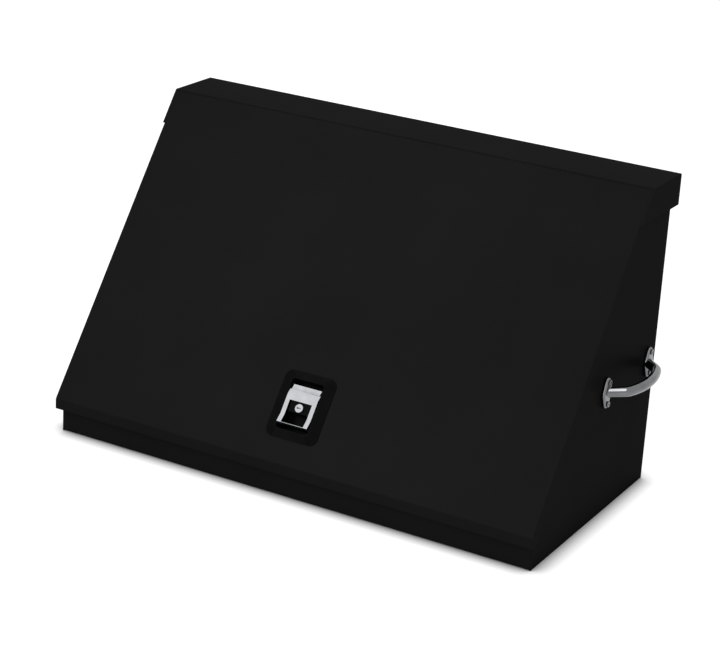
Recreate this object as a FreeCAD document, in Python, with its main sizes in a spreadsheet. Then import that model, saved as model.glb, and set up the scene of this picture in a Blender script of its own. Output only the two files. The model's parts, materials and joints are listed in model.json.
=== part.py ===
"""Wedge-shaped steel tool chest with a lift-up lid, gas struts, a keyed paddle latch and tool trays.

Frame: millimetres, +X to the chest's right, +Y to its back, +Z up.  The origin is the bottom centre of
the closed chest's box.  The lid's slanted panel has a frame of its own, the panel frame: u along +X,
v up the slope from the bottom crease, w out of the panel.
"""
import FreeCAD, Part
import math
import os
import Sketcher

document = FreeCAD.newDocument("ToolChest")

# ---------------------------------------------------------------- driving dimensions
SIZES = [
    # the whole chest
    ("box_width", 762, "over the lid cap's two ears"),
    ("box_depth", 381, "from the lid's front lip to the rear skirt"),
    ("box_height", 449, "from the floor to the top strip"),
    ("strip_depth", 92.5, "flat top strip, front to back"),
    ("lip_top", 52, "height of the crease between front lip and slanted panel"),
    ("lip_bottom", 37, "height of the front lip's lower edge"),
    ("skirt_height", 44.5, "rear skirt and ears of the lid cap"),
    ("sheet", 1.5, "sheet steel of lid and case"),
    ("bend", 3, "outer radius of a sheet bend"),
    ("ear_thick", 3.4, "hemmed ear of the lid cap"),
    ("flange_gap", 2.5, "case side to the lid's side flange"),
    ("lip_gap", 10.6, "case toe to the lid's front lip"),
    ("skirt_gap", 8.35, "case back to the lid's rear skirt"),
    ("flange_depth", 20, "the lid's side flange below the slanted face"),
    ("fold_length", 16, "fold of the slanted panel under the top strip"),
    # rim and seal
    ("rim_flange", 15, "inward fold round the case's opening"),
    ("seal_height", 8, "rubber rim seal"),
    ("seal_width", 10, ""),
    ("seal_clearance", 0.3, "seal to the closed lid"),
    ("seal_inset", 2, "seal back from the rim's outer edge"),
    # hinge
    ("knuckle_diameter", 7.2, ""),
    ("knuckle_length", 30, ""),
    ("knuckle_play", 0.3, "between neighbouring knuckles"),
    ("case_knuckles", 12, "one more than on the lid"),
    ("hinge_pin_diameter", 4, ""),
    ("hinge_fit", 0.06, "radial running clearance on the pin"),
    ("pin_overhang", 1, "hinge pin past the outer knuckles"),
    ("knuckle_drop", 0.5, "knuckles above the skirt's lower edge"),
    ("leaf_thick", 1.2, ""),
    ("leaf_height", 24, ""),
    ("leaf_relief", 0.9, "leaf edge to the other leaf's knuckles"),
    ("rivet_head", 7.5, ""),
    ("rivet_head_height", 1.6, ""),
    ("flush_head", 6, "countersunk rivet head"),
    ("hinge_rivets", 10, "in each leaf"),
    ("rivet_edge", 18, "first rivet from the leaf's end"),
    # gas struts
    ("strut_radius", 110, "hinge axis to both ball studs"),
    ("lid_stud_angle", 7, "below level, seen from the hinge"),
    ("case_stud_angle", 80, "below level, seen from the hinge"),
    ("strut_inset", 16.5, "strut axis from the rim flange's edge"),
    ("ball_diameter", 8, ""),
    ("ball_fit", 0.08, "radial play of a ball in its socket"),
    ("stud_neck", 5, ""),
    ("socket_diameter", 13, ""),
    ("socket_half", 5.5, "half the socket's thickness"),
    ("socket_stem", 12, ""),
    ("neck_room", 0.6, "round the stud's neck in the socket"),
    ("socket_length", 12, "ball centre to the socket's shoulder"),
    ("cylinder_diameter", 15, ""),
    ("cylinder_wall", 1, ""),
    ("cylinder_length", 100, ""),
    ("cylinder_base", 3, ""),
    ("gland_length", 8, ""),
    ("rod_diameter", 6, ""),
    ("rod_length", 102, "with its piston"),
    ("piston_length", 8, ""),
    ("rod_fit", 0.08, "radial clearance of rod and piston"),
    ("bracket_sheet", 2, ""),
    ("bracket_width", 26, ""),
    ("bracket_gap", 4.6, "bracket arm to the rim flange's edge"),
    ("bracket_base", 22, ""),
    ("bracket_below", 8, "lid bracket below the stud's centre"),
    ("stud_nut_radius", 4.5, ""),
    ("stud_nut_height", 3, ""),
    # lid stiffeners
    ("stiffener_offset", 190, "from the middle of the lid"),
    ("stiffener_start", 150, "up the slope"),
    ("stiffener_end", 462, "up the slope"),
    ("stiffener_width", 36, ""),
    ("stiffener_depth", 12, ""),
    ("stiffener_flange", 12, ""),
    ("stiffener_sheet", 1.2, ""),
    # latch, in the panel frame
    ("latch_low", 35, "bezel's lower edge up the slope"),
    ("bezel_width", 80, ""),
    ("bezel_length", 96, ""),
    ("bezel_corner", 11, ""),
    ("bezel_rise", 5.5, ""),
    ("bezel_step", 1, "flat edge round the ramps"),
    ("bezel_shoulder", 2, "flat rim round the mouth"),
    ("bezel_edge", 1.5, "height of the bezel's outer edge"),
    ("gasket_thick", 0.8, ""),
    ("mouth_width", 50, "opening in the bezel"),
    ("mouth_length", 72, ""),
    ("mouth_margin", 12, "bezel's lower edge to the mouth"),
    ("mouth_corner", 4, ""),
    ("cutout_margin", 3.5, "lid cut-out round the mouth"),
    ("tub_depth", 12, "pocket floor below the panel face"),
    ("tub_wall", 1.2, ""),
    ("stud_spread", 34.5, "bezel studs from the middle"),
    ("stud_rise", 26, "bezel studs from the mouth's centre"),
    ("bezel_stud_diameter", 4, ""),
    ("bezel_stud_length", 10, ""),
    ("stud_clearance", 0.2, "radial, round the bezel studs"),
    ("nut_width", 7, "across flats"),
    ("nut_height", 3, ""),
    ("frame_thick", 2, "backing frame"),
    ("frame_wall", 2, ""),
    ("frame_margin", 2, "backing frame inside the bezel's outline"),
    ("wall_drop", 29, "end walls below the panel face"),
    ("wall_half", 22, ""),
    ("cheek_half", 29.5, "outer face of the pivot cheeks"),
    ("cheek_length", 16, ""),
    ("cheek_drop", 13, ""),
    ("pivot_v", 108, "paddle pivot up the slope"),
    ("pivot_w", 7, "paddle pivot below the panel face"),
    ("pivot_diameter", 4, ""),
    ("pivot_fit", 0.06, ""),
    ("pivot_proud", 0.4, "pin ends past the cheeks"),
    ("paddle_width", 48, ""),
    ("paddle_neck", 44, "narrow top facet"),
    ("paddle_thick", 2.4, ""),
    ("paddle_top_v", 111.5, ""),
    ("paddle_top_w", 1.3, ""),
    ("ridge_v", 104, "crease between the two upper facets"),
    ("ridge_w", 3.6, ""),
    ("shoulder_v", 96, "where the flat face starts"),
    ("face_w", 6.3, ""),
    ("flare_v", 67, "where the legs flare out"),
    ("brow_v", 54.8, "end of the flare, where the lower bar curls back"),
    ("brow_w", 9.6, ""),
    ("curl_v", 50.6, "lower end of the paddle"),
    ("curl_w", 3.4, ""),
    ("window_width", 35, ""),
    ("window_low", 55.4, ""),
    ("window_high", 88.5, ""),
    ("paddle_angle", 36, "full pull"),
    ("cam_inner", 19, "inner face of a cam plate"),
    ("cam_thick", 2.4, ""),
    ("cam_margin", 4, "round the slot"),
    ("cam_room", 0.6, "each side of a cam plate in the pocket floor"),
    ("cam_slot_low", 10, "floor slots below the bolt pin"),
    ("cam_slot_high", 6, "floor slots above the pivot"),
    ("bolt_travel", 9, ""),
    ("bolt_pin_v", 70, ""),
    ("bolt_pin_w", 16.5, "below the panel face"),
    ("bolt_pin_diameter", 4, ""),
    ("bolt_pin_proud", 1, "pin past the cam plate"),
    ("slot_fit", 0.2, "bolt pin in the cam slot"),
    ("bolt_top", 23, "below the panel face"),
    ("bolt_thick", 3, ""),
    ("bolt_width", 34, ""),
    ("bolt_tail_v", 130, ""),
    ("bolt_fork_low", 64, ""),
    ("bolt_fork_high", 98, ""),
    ("bolt_fork_width", 24, ""),
    ("bolt_ramp", 4, ""),
    ("bolt_fit", 0.3, "bolt in its guide slots"),
    ("bolt_ear_length", 12, ""),
    ("bolt_ear_thick", 2, ""),
    ("bolt_ear_wall", 0.8, "ear above the pin hole"),
    ("spring_stop_v", 102, "lug that the bolt spring pushes on"),
    ("spring_stop_thick", 2, ""),
    ("spring_diameter", 7, "mean coil"),
    ("spring_wire", 0.9, ""),
    ("spring_seat", 0.1, "gap at each end"),
    ("spring_turns", 5, ""),
    ("torsion_turns", 5, ""),
    ("torsion_wire", 1, ""),
    ("torsion_gap", 0.15, "between neighbouring coils"),
    ("torsion_diameter", 6.4, "mean coil"),
    ("lock_v", 80, "key cylinder up the slope"),
    ("lock_face_w", 3.5, "front of the lock housing"),
    ("lock_width", 32, ""),
    ("lock_length", 18, ""),
    ("lock_offset", 2, "housing centre above the key cylinder"),
    ("lock_neck", 13, ""),
    ("lock_neck_end", 18, "below the panel face"),
    ("plug_diameter", 10, ""),
    ("plug_face", 12.4, "chrome face of the key cylinder"),
    ("plug_face_w", 6, ""),
    ("plug_fit", 0.06, ""),
    ("key_slot_length", 6, ""),
    ("key_slot_width", 1.2, ""),
    ("key_slot_depth", 3, ""),
    ("lock_nut_width", 18, ""),
    ("lock_nut_height", 2.5, ""),
    ("cam_lever_length", 13, ""),
    ("cam_lever_width", 8, ""),
    ("cam_lever_thick", 2, ""),
    ("cam_screw_head", 6, ""),
    ("cam_screw_height", 1.8, ""),
    # striker
    ("striker_thick", 2, ""),
    ("striker_setback", 3, "from the rim flange's outer edge"),
    ("striker_width", 44, ""),
    ("striker_lip", 8, ""),
    ("striker_lip_w", 20.5, "lip below the panel face"),
    ("striker_gap", 0.5, "bolt's nose to the lip"),
    ("striker_rivet_spread", 28, ""),
    # side handles
    ("handle_y", 82, "middle of the grip"),
    ("handle_z", 186, ""),
    ("handle_span", 141, "between the feet"),
    ("handle_reach", 40.5, "outermost face from the case side"),
    ("handle_bar", 14, ""),
    ("handle_lean", 41.5, "degrees from the side's square to a leg"),
    ("handle_bend", 20, "centre-line radius between leg and grip"),
    ("grip_radius", 132, "centre-line radius of the bowed grip"),
    ("foot_width", 25, ""),
    ("foot_height", 44, ""),
    ("foot_tip", 12, "rounded ends of the lozenge"),
    ("foot_thick", 6, ""),
    ("foot_round", 3, ""),
    ("foot_screw_rise", 15.5, "screws above and below the bar"),
    ("screw_shank", 5, ""),
    ("screw_head", 8, ""),
    ("screw_head_height", 2.2, ""),
    ("screw_clearance", 0.25, "radial, in feet and case"),
    ("screw_tail", 8, "behind the case side"),
    ("handle_nut_width", 8, "across flats"),
    ("handle_nut_height", 4, ""),
    # stand and trays
    ("tray_side_gap", 52.1, "case side to a tray's end"),
    ("tray_front_gap", 18.9, "case toe to the front tray"),
    ("tray_step_gap", 5, "first riser to the middle tray"),
    ("tray_back_gap", 30.65, "rear tray to the case's back"),
    ("tray_height", 40, ""),
    ("tray_wall", 1.2, ""),
    ("tray_corner", 5, ""),
    ("stand_sheet", 1.5, ""),
    ("stand_margin", 5, "stand beyond each tray end"),
    ("stand_flange", 14, ""),
    ("first_tread", 110, ""),
    ("second_tread", 220, ""),
    ("foam_thick", 12, ""),
    ("foam_clearance", 0.5, ""),
    ("stand_rivets", 6, ""),
    ("stand_rivet_edge", 40, ""),
]

# places worked out from the sizes, as spreadsheet formulas
PLACES = [
    ("half_width", "Size.box_width / 2"),
    ("lid_half", "half_width - Size.ear_thick"),
    ("case_half", "lid_half - Size.sheet - Size.flange_gap"),
    ("inner_half", "case_half - Size.sheet"),
    ("front_y", "-Size.box_depth / 2"),
    ("rear_y", "Size.box_depth / 2"),
    ("crease_y", "rear_y - Size.strip_depth"),
    ("toe_y", "front_y + Size.sheet + Size.lip_gap"),
    ("back_y", "rear_y - Size.sheet - Size.skirt_gap"),
    ("slope", "atan((Size.box_height - Size.lip_top) / (crease_y - front_y))"),
    ("run", "cos(slope)"),
    ("rise", "sin(slope)"),
    ("pitch", "tan(slope)"),
    ("lip_miter", "tan(45 deg - slope / 2)"),
    ("crown_miter", "tan(slope / 2)"),
    ("skirt_z", "Size.box_height - Size.skirt_height"),
    ("rim_drop", "Size.sheet + Size.seal_clearance + Size.seal_height"),
    ("rim_z", "Size.box_height - rim_drop"),
    ("rim_half", "inner_half - Size.rim_flange"),
    ("rim_start_v", "(toe_y - front_y) / run - rim_drop * pitch"),
    ("knuckle_radius", "Size.knuckle_diameter / 2"),
    ("hinge_y", "rear_y - Size.sheet - Size.skirt_gap / 2"),
    ("hinge_z", "skirt_z + knuckle_radius + Size.knuckle_drop"),
    ("hinge_half", "(Size.case_knuckles - 0.5) * Size.knuckle_length"),
    ("strut_x", "rim_half - Size.strut_inset"),
    ("lid_stud_y", "hinge_y - Size.strut_radius * cos(Size.lid_stud_angle)"),
    ("lid_stud_z", "hinge_z - Size.strut_radius * sin(Size.lid_stud_angle)"),
    ("case_stud_y", "hinge_y - Size.strut_radius * cos(Size.case_stud_angle)"),
    ("case_stud_z", "hinge_z - Size.strut_radius * sin(Size.case_stud_angle)"),
    ("strut_lean", "(Size.lid_stud_angle + Size.case_stud_angle) / 2"),
    ("bracket_x", "rim_half - Size.bracket_gap"),
    ("mouth_low", "Size.latch_low + Size.mouth_margin"),
    ("mouth_high", "mouth_low + Size.mouth_length"),
    ("mouth_mid", "(mouth_low + mouth_high) / 2"),
    ("bezel_mid", "Size.latch_low + Size.bezel_length / 2"),
    ("cutout_low", "mouth_low - Size.cutout_margin"),
    ("cutout_high", "mouth_high + Size.cutout_margin"),
    ("cutout_half", "Size.mouth_width / 2 + Size.cutout_margin"),
    ("front_wall_v", "cutout_low - Size.frame_wall"),
    ("rear_wall_v", "cutout_high"),
    ("striker_end_v", "rim_start_v + Size.rim_flange + Size.striker_lip"),
    ("bolt_nose_v", "striker_end_v + Size.striker_gap"),
    ("grip_x", "case_half + Size.handle_reach - Size.handle_bar / 2"),
    ("foot_x", "case_half + Size.foot_thick"),
    ("bow_x", "grip_x - Size.grip_radius"),
    ("bow_arm", "Size.grip_radius - Size.handle_bend"),
    ("bow_room", "Size.handle_span / 2 - Size.handle_bend * cos(Size.handle_lean)"
                 " - (bow_x - case_half + Size.handle_bend * sin(Size.handle_lean)) * tan(Size.handle_lean)"),
    ("bow_turn", "asin(cos(Size.handle_lean) * bow_room / bow_arm) - Size.handle_lean * 1 deg"),
    ("elbow_x", "bow_x + bow_arm * cos(bow_turn)"),
    ("elbow_y", "bow_arm * sin(bow_turn)"),
    ("elbow_start", "90 deg - Size.handle_lean * 1 deg"),
    ("leg_end_x", "elbow_x + Size.handle_bend * sin(Size.handle_lean)"),
    ("leg_length", "(leg_end_x - case_half) / cos(Size.handle_lean)"),
    ("foot_rise", "(Size.foot_height - Size.foot_tip) / 2"),
    ("foot_taper", "asin((Size.foot_width - Size.foot_tip) / 2 / foot_rise)"),
    ("tray_width", "2 * (inner_half - Size.tray_side_gap)"),
    ("tray_room", "back_y - toe_y - 2 * Size.sheet - Size.stand_sheet"
                  " - Size.tray_front_gap - Size.tray_step_gap - Size.tray_back_gap"),
    ("tray_depth", "tray_room / 3"),
    ("first_riser", "toe_y + Size.sheet + Size.tray_front_gap + tray_depth"),
    ("second_riser", "first_riser + Size.tray_step_gap + tray_depth"),
    ("stand_half", "tray_width / 2 + Size.stand_margin"),
]

sizes = document.addObject("Spreadsheet::Sheet", "Size")
for row, (alias, size, meaning) in enumerate(SIZES, start=1):
    sizes.set(f"A{row}", alias)
    sizes.set(f"B{row}", str(size))
    sizes.setAlias(f"B{row}", alias)
    sizes.set(f"C{row}", meaning)
document.recompute()
places = document.addObject("Spreadsheet::Sheet", "Place")
for row, (alias, formula) in enumerate(PLACES, start=1):
    places.set(f"A{row}", alias)
    places.set(f"B{row}", "=" + formula)
    places.setAlias(f"B{row}", alias)
document.recompute()

PARTS = []
SIDES = (("left", -1), ("right", 1))
X_AXIS = FreeCAD.Vector(1, 0, 0)
Z_AXIS = FreeCAD.Vector(0, 0, 1)
TOUCH = 1e-4  # corners closer than this are the same corner
PAST = 1  # how far a cut runs past the face that it opens
STUD_HOLE = "Size.bezel_stud_diameter + 2 * Size.stud_clearance"
CORNER_SHARE = 0.6  # how far along a margin a plate's corners are cut


# ---------------------------------------------------------------- helpers
def number(expression):
    """The value of an expression over the two spreadsheets."""
    result = sizes.evalExpression(str(expression))
    return float(getattr(result, "Value", result))


def bind(thing, **expressions):
    """Bind properties to expressions; a double underscore stands for a dot."""
    for name, expression in expressions.items():
        thing.setExpression(name.replace("__", "."), str(expression))


def place(thing, x="0", y="0", z="0", angle=None, axis=X_AXIS):
    """Bind a part's placement to expressions."""
    if angle is not None:
        thing.Placement.Rotation = FreeCAD.Rotation(axis, 1)
        bind(thing, Placement__Rotation__Angle=angle)
    bind(thing, Placement__Base__x=x, Placement__Base__y=y, Placement__Base__z=z)


def on_panel(thing):
    """Put a part that is modelled in the panel frame where the panel is."""
    place(thing, y="Place.front_y", z="Size.lip_top", angle="Place.slope")


def new_body(label, keep=True):
    body = document.addObject("PartDesign::Body", label)
    body.Label = label
    if keep:
        PARTS.append(body)
    return body


def datum(body, role):
    return next(item for item in body.Origin.OriginFeatures if item.Role == role)


def sketch(body, name, plane, loops, offset="0", on_slope=False):
    """Closed loops on an origin plane: a list of corners, or a (u, v, diameter) circle."""
    drawing = body.newObject("Sketcher::SketchObject", name)
    drawing.AttachmentSupport = (datum(body, plane), [""])
    drawing.MapMode = "FlatFace"
    if on_slope:
        drawing.AttachmentOffset = FreeCAD.Placement(FreeCAD.Vector(), FreeCAD.Rotation(X_AXIS, 1))
        bind(drawing, AttachmentOffset__Rotation__Angle="Place.slope",
             AttachmentOffset__Base__y="Place.front_y", AttachmentOffset__Base__z="Size.lip_top")
    else:
        bind(drawing, AttachmentOffset__Base__z=offset)
    for loop in loops:
        if isinstance(loop, tuple):
            draw_circle(drawing, *loop)
        else:
            draw_corners(drawing, loop)
    return drawing


def hold(drawing, kind, *where):
    """Add a constraint whose last item is the expression that sets it."""
    *target, expression = where
    index = drawing.addConstraint(Sketcher.Constraint(kind, *target, number(expression)))
    drawing.setExpression(f"Constraints[{index}]", str(expression))


def draw_circle(drawing, u, v, diameter):
    centre = FreeCAD.Vector(number(u), number(v), 0)
    circle = drawing.addGeometry(Part.Circle(centre, Z_AXIS, number(diameter) / 2), False)
    hold(drawing, "DistanceX", circle, 3, u)
    hold(drawing, "DistanceY", circle, 3, v)
    hold(drawing, "Diameter", circle, diameter)


def draw_corners(drawing, corners):
    spots = [FreeCAD.Vector(number(u), number(v), 0) for u, v in corners]
    lines = [drawing.addGeometry(Part.LineSegment(start, end), False)
             for start, end in zip(spots, spots[1:] + spots[:1])]
    for line, following in zip(lines, lines[1:] + lines[:1]):
        drawing.addConstraint(Sketcher.Constraint("Coincident", line, 2, following, 1))
    for line, (u, v) in zip(lines, corners):
        hold(drawing, "DistanceX", line, 1, u)
        hold(drawing, "DistanceY", line, 1, v)


def draw_rounded(drawing, u_half, v_low, v_high, radius):
    """Draw a rectangle centred on u = 0 with rounded corners."""
    left = f"-({u_half}) + ({radius})"
    right = f"{u_half} - ({radius})"
    low = f"{v_low} + ({radius})"
    high = f"{v_high} - ({radius})"
    arcs = []
    for quarter, (u, v) in enumerate([(right, high), (left, high), (left, low), (right, low)]):
        circle = Part.Circle(FreeCAD.Vector(number(u), number(v), 0), Z_AXIS, number(radius))
        start = math.radians(90 * quarter)
        arcs.append(drawing.addGeometry(Part.ArcOfCircle(circle, start, start + math.radians(90)), False))
        hold(drawing, "DistanceX", arcs[-1], 3, u)
        hold(drawing, "DistanceY", arcs[-1], 3, v)
        hold(drawing, "Radius", arcs[-1], radius)
    for arc, following in zip(arcs, arcs[1:] + arcs[:1]):
        start = drawing.getPoint(arc, 2)
        end = drawing.getPoint(following, 1)
        line = drawing.addGeometry(Part.LineSegment(start, end), False)
        drawing.addConstraint(Sketcher.Constraint("Tangent", arc, 2, line, 1))
        drawing.addConstraint(Sketcher.Constraint("Tangent", line, 2, following, 1))


def rectangle(u_low, u_high, v_low, v_high):
    return [(u_low, v_low), (u_high, v_low), (u_high, v_high), (u_low, v_high)]


def volume(body):
    return body.Tip.Shape.Volume if body.Tip else 0


def pad(body, drawing, length, symmetric=False, back=False):
    feature = body.newObject("PartDesign::Pad", f"{drawing.Name}Pad")
    feature.Profile = drawing
    feature.SideType = "Symmetric" if symmetric else "One side"
    feature.Reversed = back
    bind(feature, Length=length)
    document.recompute()
    return feature


def pocket(body, drawing, length, symmetric=False, back=False):
    """Cut against the sketch's normal, or along it if back is set."""
    before = volume(body)
    feature = body.newObject("PartDesign::Pocket", f"{drawing.Name}Pocket")
    feature.Profile = drawing
    feature.SideType = "Symmetric" if symmetric else "One side"
    feature.Reversed = back
    bind(feature, Length=length)
    document.recompute()
    if not feature.Shape.Volume < before:
        raise RuntimeError(f"{body.Label}: {drawing.Name} cuts nothing")
    return feature


def turn(body, drawing, axis, angle=360):
    feature = body.newObject("PartDesign::Revolution", f"{drawing.Name}Turn")
    feature.Profile = drawing
    feature.ReferenceAxis = (datum(body, axis), [""])
    feature.Angle = angle
    document.recompute()
    return feature


def mirror(body, features, plane="YZ_Plane"):
    feature = body.newObject("PartDesign::Mirrored", f"{features[0].Name}Mirror")
    feature.Originals = features
    feature.MirrorPlane = (datum(body, plane), [""])
    body.Tip = feature
    document.recompute()
    return feature


def row_pattern(body, features, axis, length, count):
    feature = body.newObject("PartDesign::LinearPattern", f"{features[0].Name}Row")
    feature.Originals = features
    feature.Direction = (datum(body, axis), [""])
    bind(feature, Length=length, Occurrences=count)
    body.Tip = feature
    document.recompute()
    return feature


def repeat(body, feature, rows, mirrors=()):
    """Repeat a feature in rows of (axis, length, count) and across mirror planes."""
    pattern = body.newObject("PartDesign::MultiTransform", f"{feature.Name}Repeat")
    steps = []
    for axis, length, count in rows:
        step = body.newObject("PartDesign::LinearPattern", f"{feature.Name}Step")
        step.Direction = (datum(body, axis), [""])
        bind(step, Length=length, Occurrences=count)
        steps.append(step)
    for plane in mirrors:
        step = body.newObject("PartDesign::Mirrored", f"{feature.Name}Flip")
        step.MirrorPlane = (datum(body, plane), [""])
        steps.append(step)
    pattern.Originals = [feature]
    pattern.Transformations = steps
    body.Tip = pattern
    document.recompute()
    return pattern


def round_edges(body, name, radius, wanted):
    """Fillet every straight edge of the tip that wanted() accepts."""
    tip = body.Tip
    names = [f"Edge{index}" for index, edge in enumerate(tip.Shape.Edges, start=1) if wanted(edge)]
    if not names:
        raise RuntimeError(f"{body.Label}: {name} finds no edge")
    feature = body.newObject("PartDesign::Fillet", name)
    feature.Base = (tip, names)
    bind(feature, Radius=radius)
    document.recompute()
    return feature


def along_x(*spots):
    """Accept edges that run along X through one of the given (y, z) places."""
    targets = [(number(y), number(z)) for y, z in spots]

    def wanted(edge):
        return any(all(math.hypot(corner.Y - y, corner.Z - z) < TOUCH for corner in edge.Vertexes)
                   for y, z in targets)
    return wanted


def upright(u_half, v_low, v_high):
    """Accept edges along Z at the corners of a rectangle centred on u = 0."""
    corners = [(sign * number(u_half), number(v)) for sign in (-1, 1) for v in (v_low, v_high)]

    def wanted(edge):
        return any(all(math.hypot(corner.X - x, corner.Y - y) < TOUCH for corner in edge.Vertexes)
                   for x, y in corners)
    return wanted


def slant_z(y, drop):
    """Height, at a given y, of the line that lies drop below the slanted face."""
    return f"Size.lip_top + (({y}) - Place.front_y) * Place.pitch - ({drop}) / Place.run"


def slant_y(z, drop="0"):
    """The y, at a given height, of the line that lies drop below the slanted face."""
    return f"Place.front_y + (({z}) - Size.lip_top + ({drop}) / Place.run) / Place.pitch"


def crown_y(drop):
    """The y where that line meets the level drop below the top strip."""
    return f"Place.crease_y + ({drop}) * Place.crown_miter"


def panel_point(v, w):
    """A panel-frame point (v, w) as a chest-frame (y, z)."""
    return (f"Place.front_y + ({v}) * Place.run - ({w}) * Place.rise",
            f"Size.lip_top + ({v}) * Place.rise + ({w}) * Place.run")


# ---------------------------------------------------------------- case
def make_case_wrapper():
    """One folded sheet: floor, toe and back, with the front and rear rim flanges."""
    body = new_body("case_wrapper")
    toe_inner = "Place.toe_y + Size.sheet"
    back_inner = "Place.back_y - Size.sheet"
    wrap = sketch(body, "Wrap", "YZ_Plane", [[
        ("Place.toe_y", slant_z("Place.toe_y", "Place.rim_drop")), ("Place.toe_y", "0"),
        ("Place.back_y", "0"), ("Place.back_y", "Place.rim_z"),
        (back_inner, "Place.rim_z"), (back_inner, "Size.sheet"),
        (toe_inner, "Size.sheet"), (toe_inner, slant_z(toe_inner, "Place.rim_drop"))]])
    pad(body, wrap, "2 * Place.inner_half", symmetric=True)
    round_edges(body, "OuterBends", "Size.bend", along_x(("Place.toe_y", "0"), ("Place.back_y", "0")))
    round_edges(body, "InnerBends", "Size.bend - Size.sheet",
                along_x((toe_inner, "Size.sheet"), (back_inner, "Size.sheet")))
    low = slant_z("Place.toe_y", "Place.rim_drop")
    reach = "Size.rim_flange * Place.run"
    climb = "Size.rim_flange * Place.rise"
    front = sketch(body, "FrontFlange", "YZ_Plane", [[
        ("Place.toe_y", low),
        (f"Place.toe_y + {reach}", f"{low} + {climb}"),
        (f"Place.toe_y + {reach} + Size.sheet * Place.rise", f"{low} + {climb} - Size.sheet * Place.run"),
        (toe_inner, slant_z(toe_inner, "Place.rim_drop + Size.sheet"))]])
    pad(body, front, "2 * Place.rim_half", symmetric=True)
    rear = sketch(body, "RearFlange", "YZ_Plane", [rectangle(
        "Place.back_y - Size.rim_flange", "Place.back_y", "Place.rim_z - Size.sheet", "Place.rim_z")])
    pad(body, rear, "2 * Place.rim_half", symmetric=True)


def make_side_panel(name, side):
    """A flat side with its rim flange folded inward; side is 1 on the right and -1 on the left."""
    body = new_body(name)
    sheet_start = "Place.inner_half" if side > 0 else "-Place.case_half"
    flange_start = "Place.rim_half" if side > 0 else "-Place.case_half"
    low = slant_z("Place.toe_y", "Place.rim_drop")
    face = sketch(body, f"Face{name}", "YZ_Plane", [[
        ("Place.toe_y", "0"), ("Place.back_y", "0"), ("Place.back_y", "Place.rim_z"),
        (crown_y("Place.rim_drop"), "Place.rim_z"), ("Place.toe_y", low)]], offset=sheet_start)
    pad(body, face, "Size.sheet")
    under = "Place.rim_drop + Size.sheet"
    start = "Place.toe_y + Size.sheet"
    end = "Place.back_y - Size.sheet"
    flange = sketch(body, f"Flange{name}", "YZ_Plane", [[
        (start, slant_z(start, "Place.rim_drop")), (crown_y("Place.rim_drop"), "Place.rim_z"),
        (end, "Place.rim_z"), (end, "Place.rim_z - Size.sheet"),
        (crown_y(under), "Place.rim_z - Size.sheet"), (start, slant_z(start, under))]],
        offset=flange_start)
    pad(body, flange, "Size.rim_flange + Size.sheet")
    holes = sketch(body, f"Holes{name}", "YZ_Plane", handle_hole_circles(),
                   offset=f"{side} * Place.case_half")
    pocket(body, holes, "4 * Size.sheet", symmetric=True)


def handle_hole_circles():
    """The four handle screw holes as sketch circles in (y, z)."""
    return [(f"Size.handle_y + {along} * Size.handle_span / 2",
             f"Size.handle_z + {up} * Size.foot_screw_rise",
             "Size.screw_shank + 2 * Size.screw_clearance")
            for along in (-1, 1) for up in (-1, 1)]


def make_rim_seal():
    """Rubber frame on the rim flanges, following the slanted and the level stretch."""
    body = new_body("rim_seal")
    low = "Place.rim_drop"
    high = "Place.rim_drop - Size.seal_height"
    start = "Place.rim_start_v + Size.seal_inset"
    end = "Place.back_y - Size.seal_inset"
    start_low = panel_point(start, f"-({low})")
    start_high = panel_point(start, f"-({high})")
    outer = sketch(body, "SealOuter", "YZ_Plane", [[
        start_low, (crown_y(low), "Place.rim_z"), (end, "Place.rim_z"),
        (end, "Place.rim_z + Size.seal_height"), (crown_y(high), "Place.rim_z + Size.seal_height"),
        start_high]])
    pad(body, outer, "2 * (Place.case_half - Size.seal_inset)", symmetric=True)
    inner_start = f"{start} + Size.seal_width"
    below = f"{low} + {PAST}"
    above = f"{high} - {PAST}"
    inner_end = f"{end} - Size.seal_width"
    inner = sketch(body, "SealInner", "YZ_Plane", [[
        panel_point(inner_start, f"-({below})"), (crown_y(below), f"Place.rim_z - {PAST}"),
        (inner_end, f"Place.rim_z - {PAST}"), (inner_end, f"Place.rim_z + Size.seal_height + {PAST}"),
        (crown_y(above), f"Place.rim_z + Size.seal_height + {PAST}"),
        panel_point(inner_start, f"-({above})")]])
    pocket(body, inner, "2 * (Place.case_half - Size.seal_inset - Size.seal_width)", symmetric=True)


def make_stand():
    """Stepped sheet that carries the middle and rear trays."""
    body = new_body("tray_stand")
    floor = "Size.sheet"
    thick = "Size.stand_sheet"
    back = "Place.back_y - Size.sheet"
    outline = sketch(body, "Stairs", "YZ_Plane", [[
        ("Place.first_riser", floor), ("Place.first_riser", "Size.first_tread"),
        ("Place.second_riser", "Size.first_tread"), ("Place.second_riser", "Size.second_tread"),
        (back, "Size.second_tread"), (back, f"Size.second_tread - {thick} - Size.stand_flange"),
        (f"{back} - {thick}", f"Size.second_tread - {thick} - Size.stand_flange"),
        (f"{back} - {thick}", f"Size.second_tread - {thick}"),
        (f"Place.second_riser + {thick}", f"Size.second_tread - {thick}"),
        (f"Place.second_riser + {thick}", f"Size.first_tread - {thick}"),
        (f"Place.first_riser + {thick}", f"Size.first_tread - {thick}"),
        (f"Place.first_riser + {thick}", f"{floor} + {thick}"),
        (f"Place.first_riser + {thick} + Size.stand_flange", f"{floor} + {thick}"),
        (f"Place.first_riser + {thick} + Size.stand_flange", floor)]])
    pad(body, outline, "2 * Place.stand_half", symmetric=True)


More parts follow.
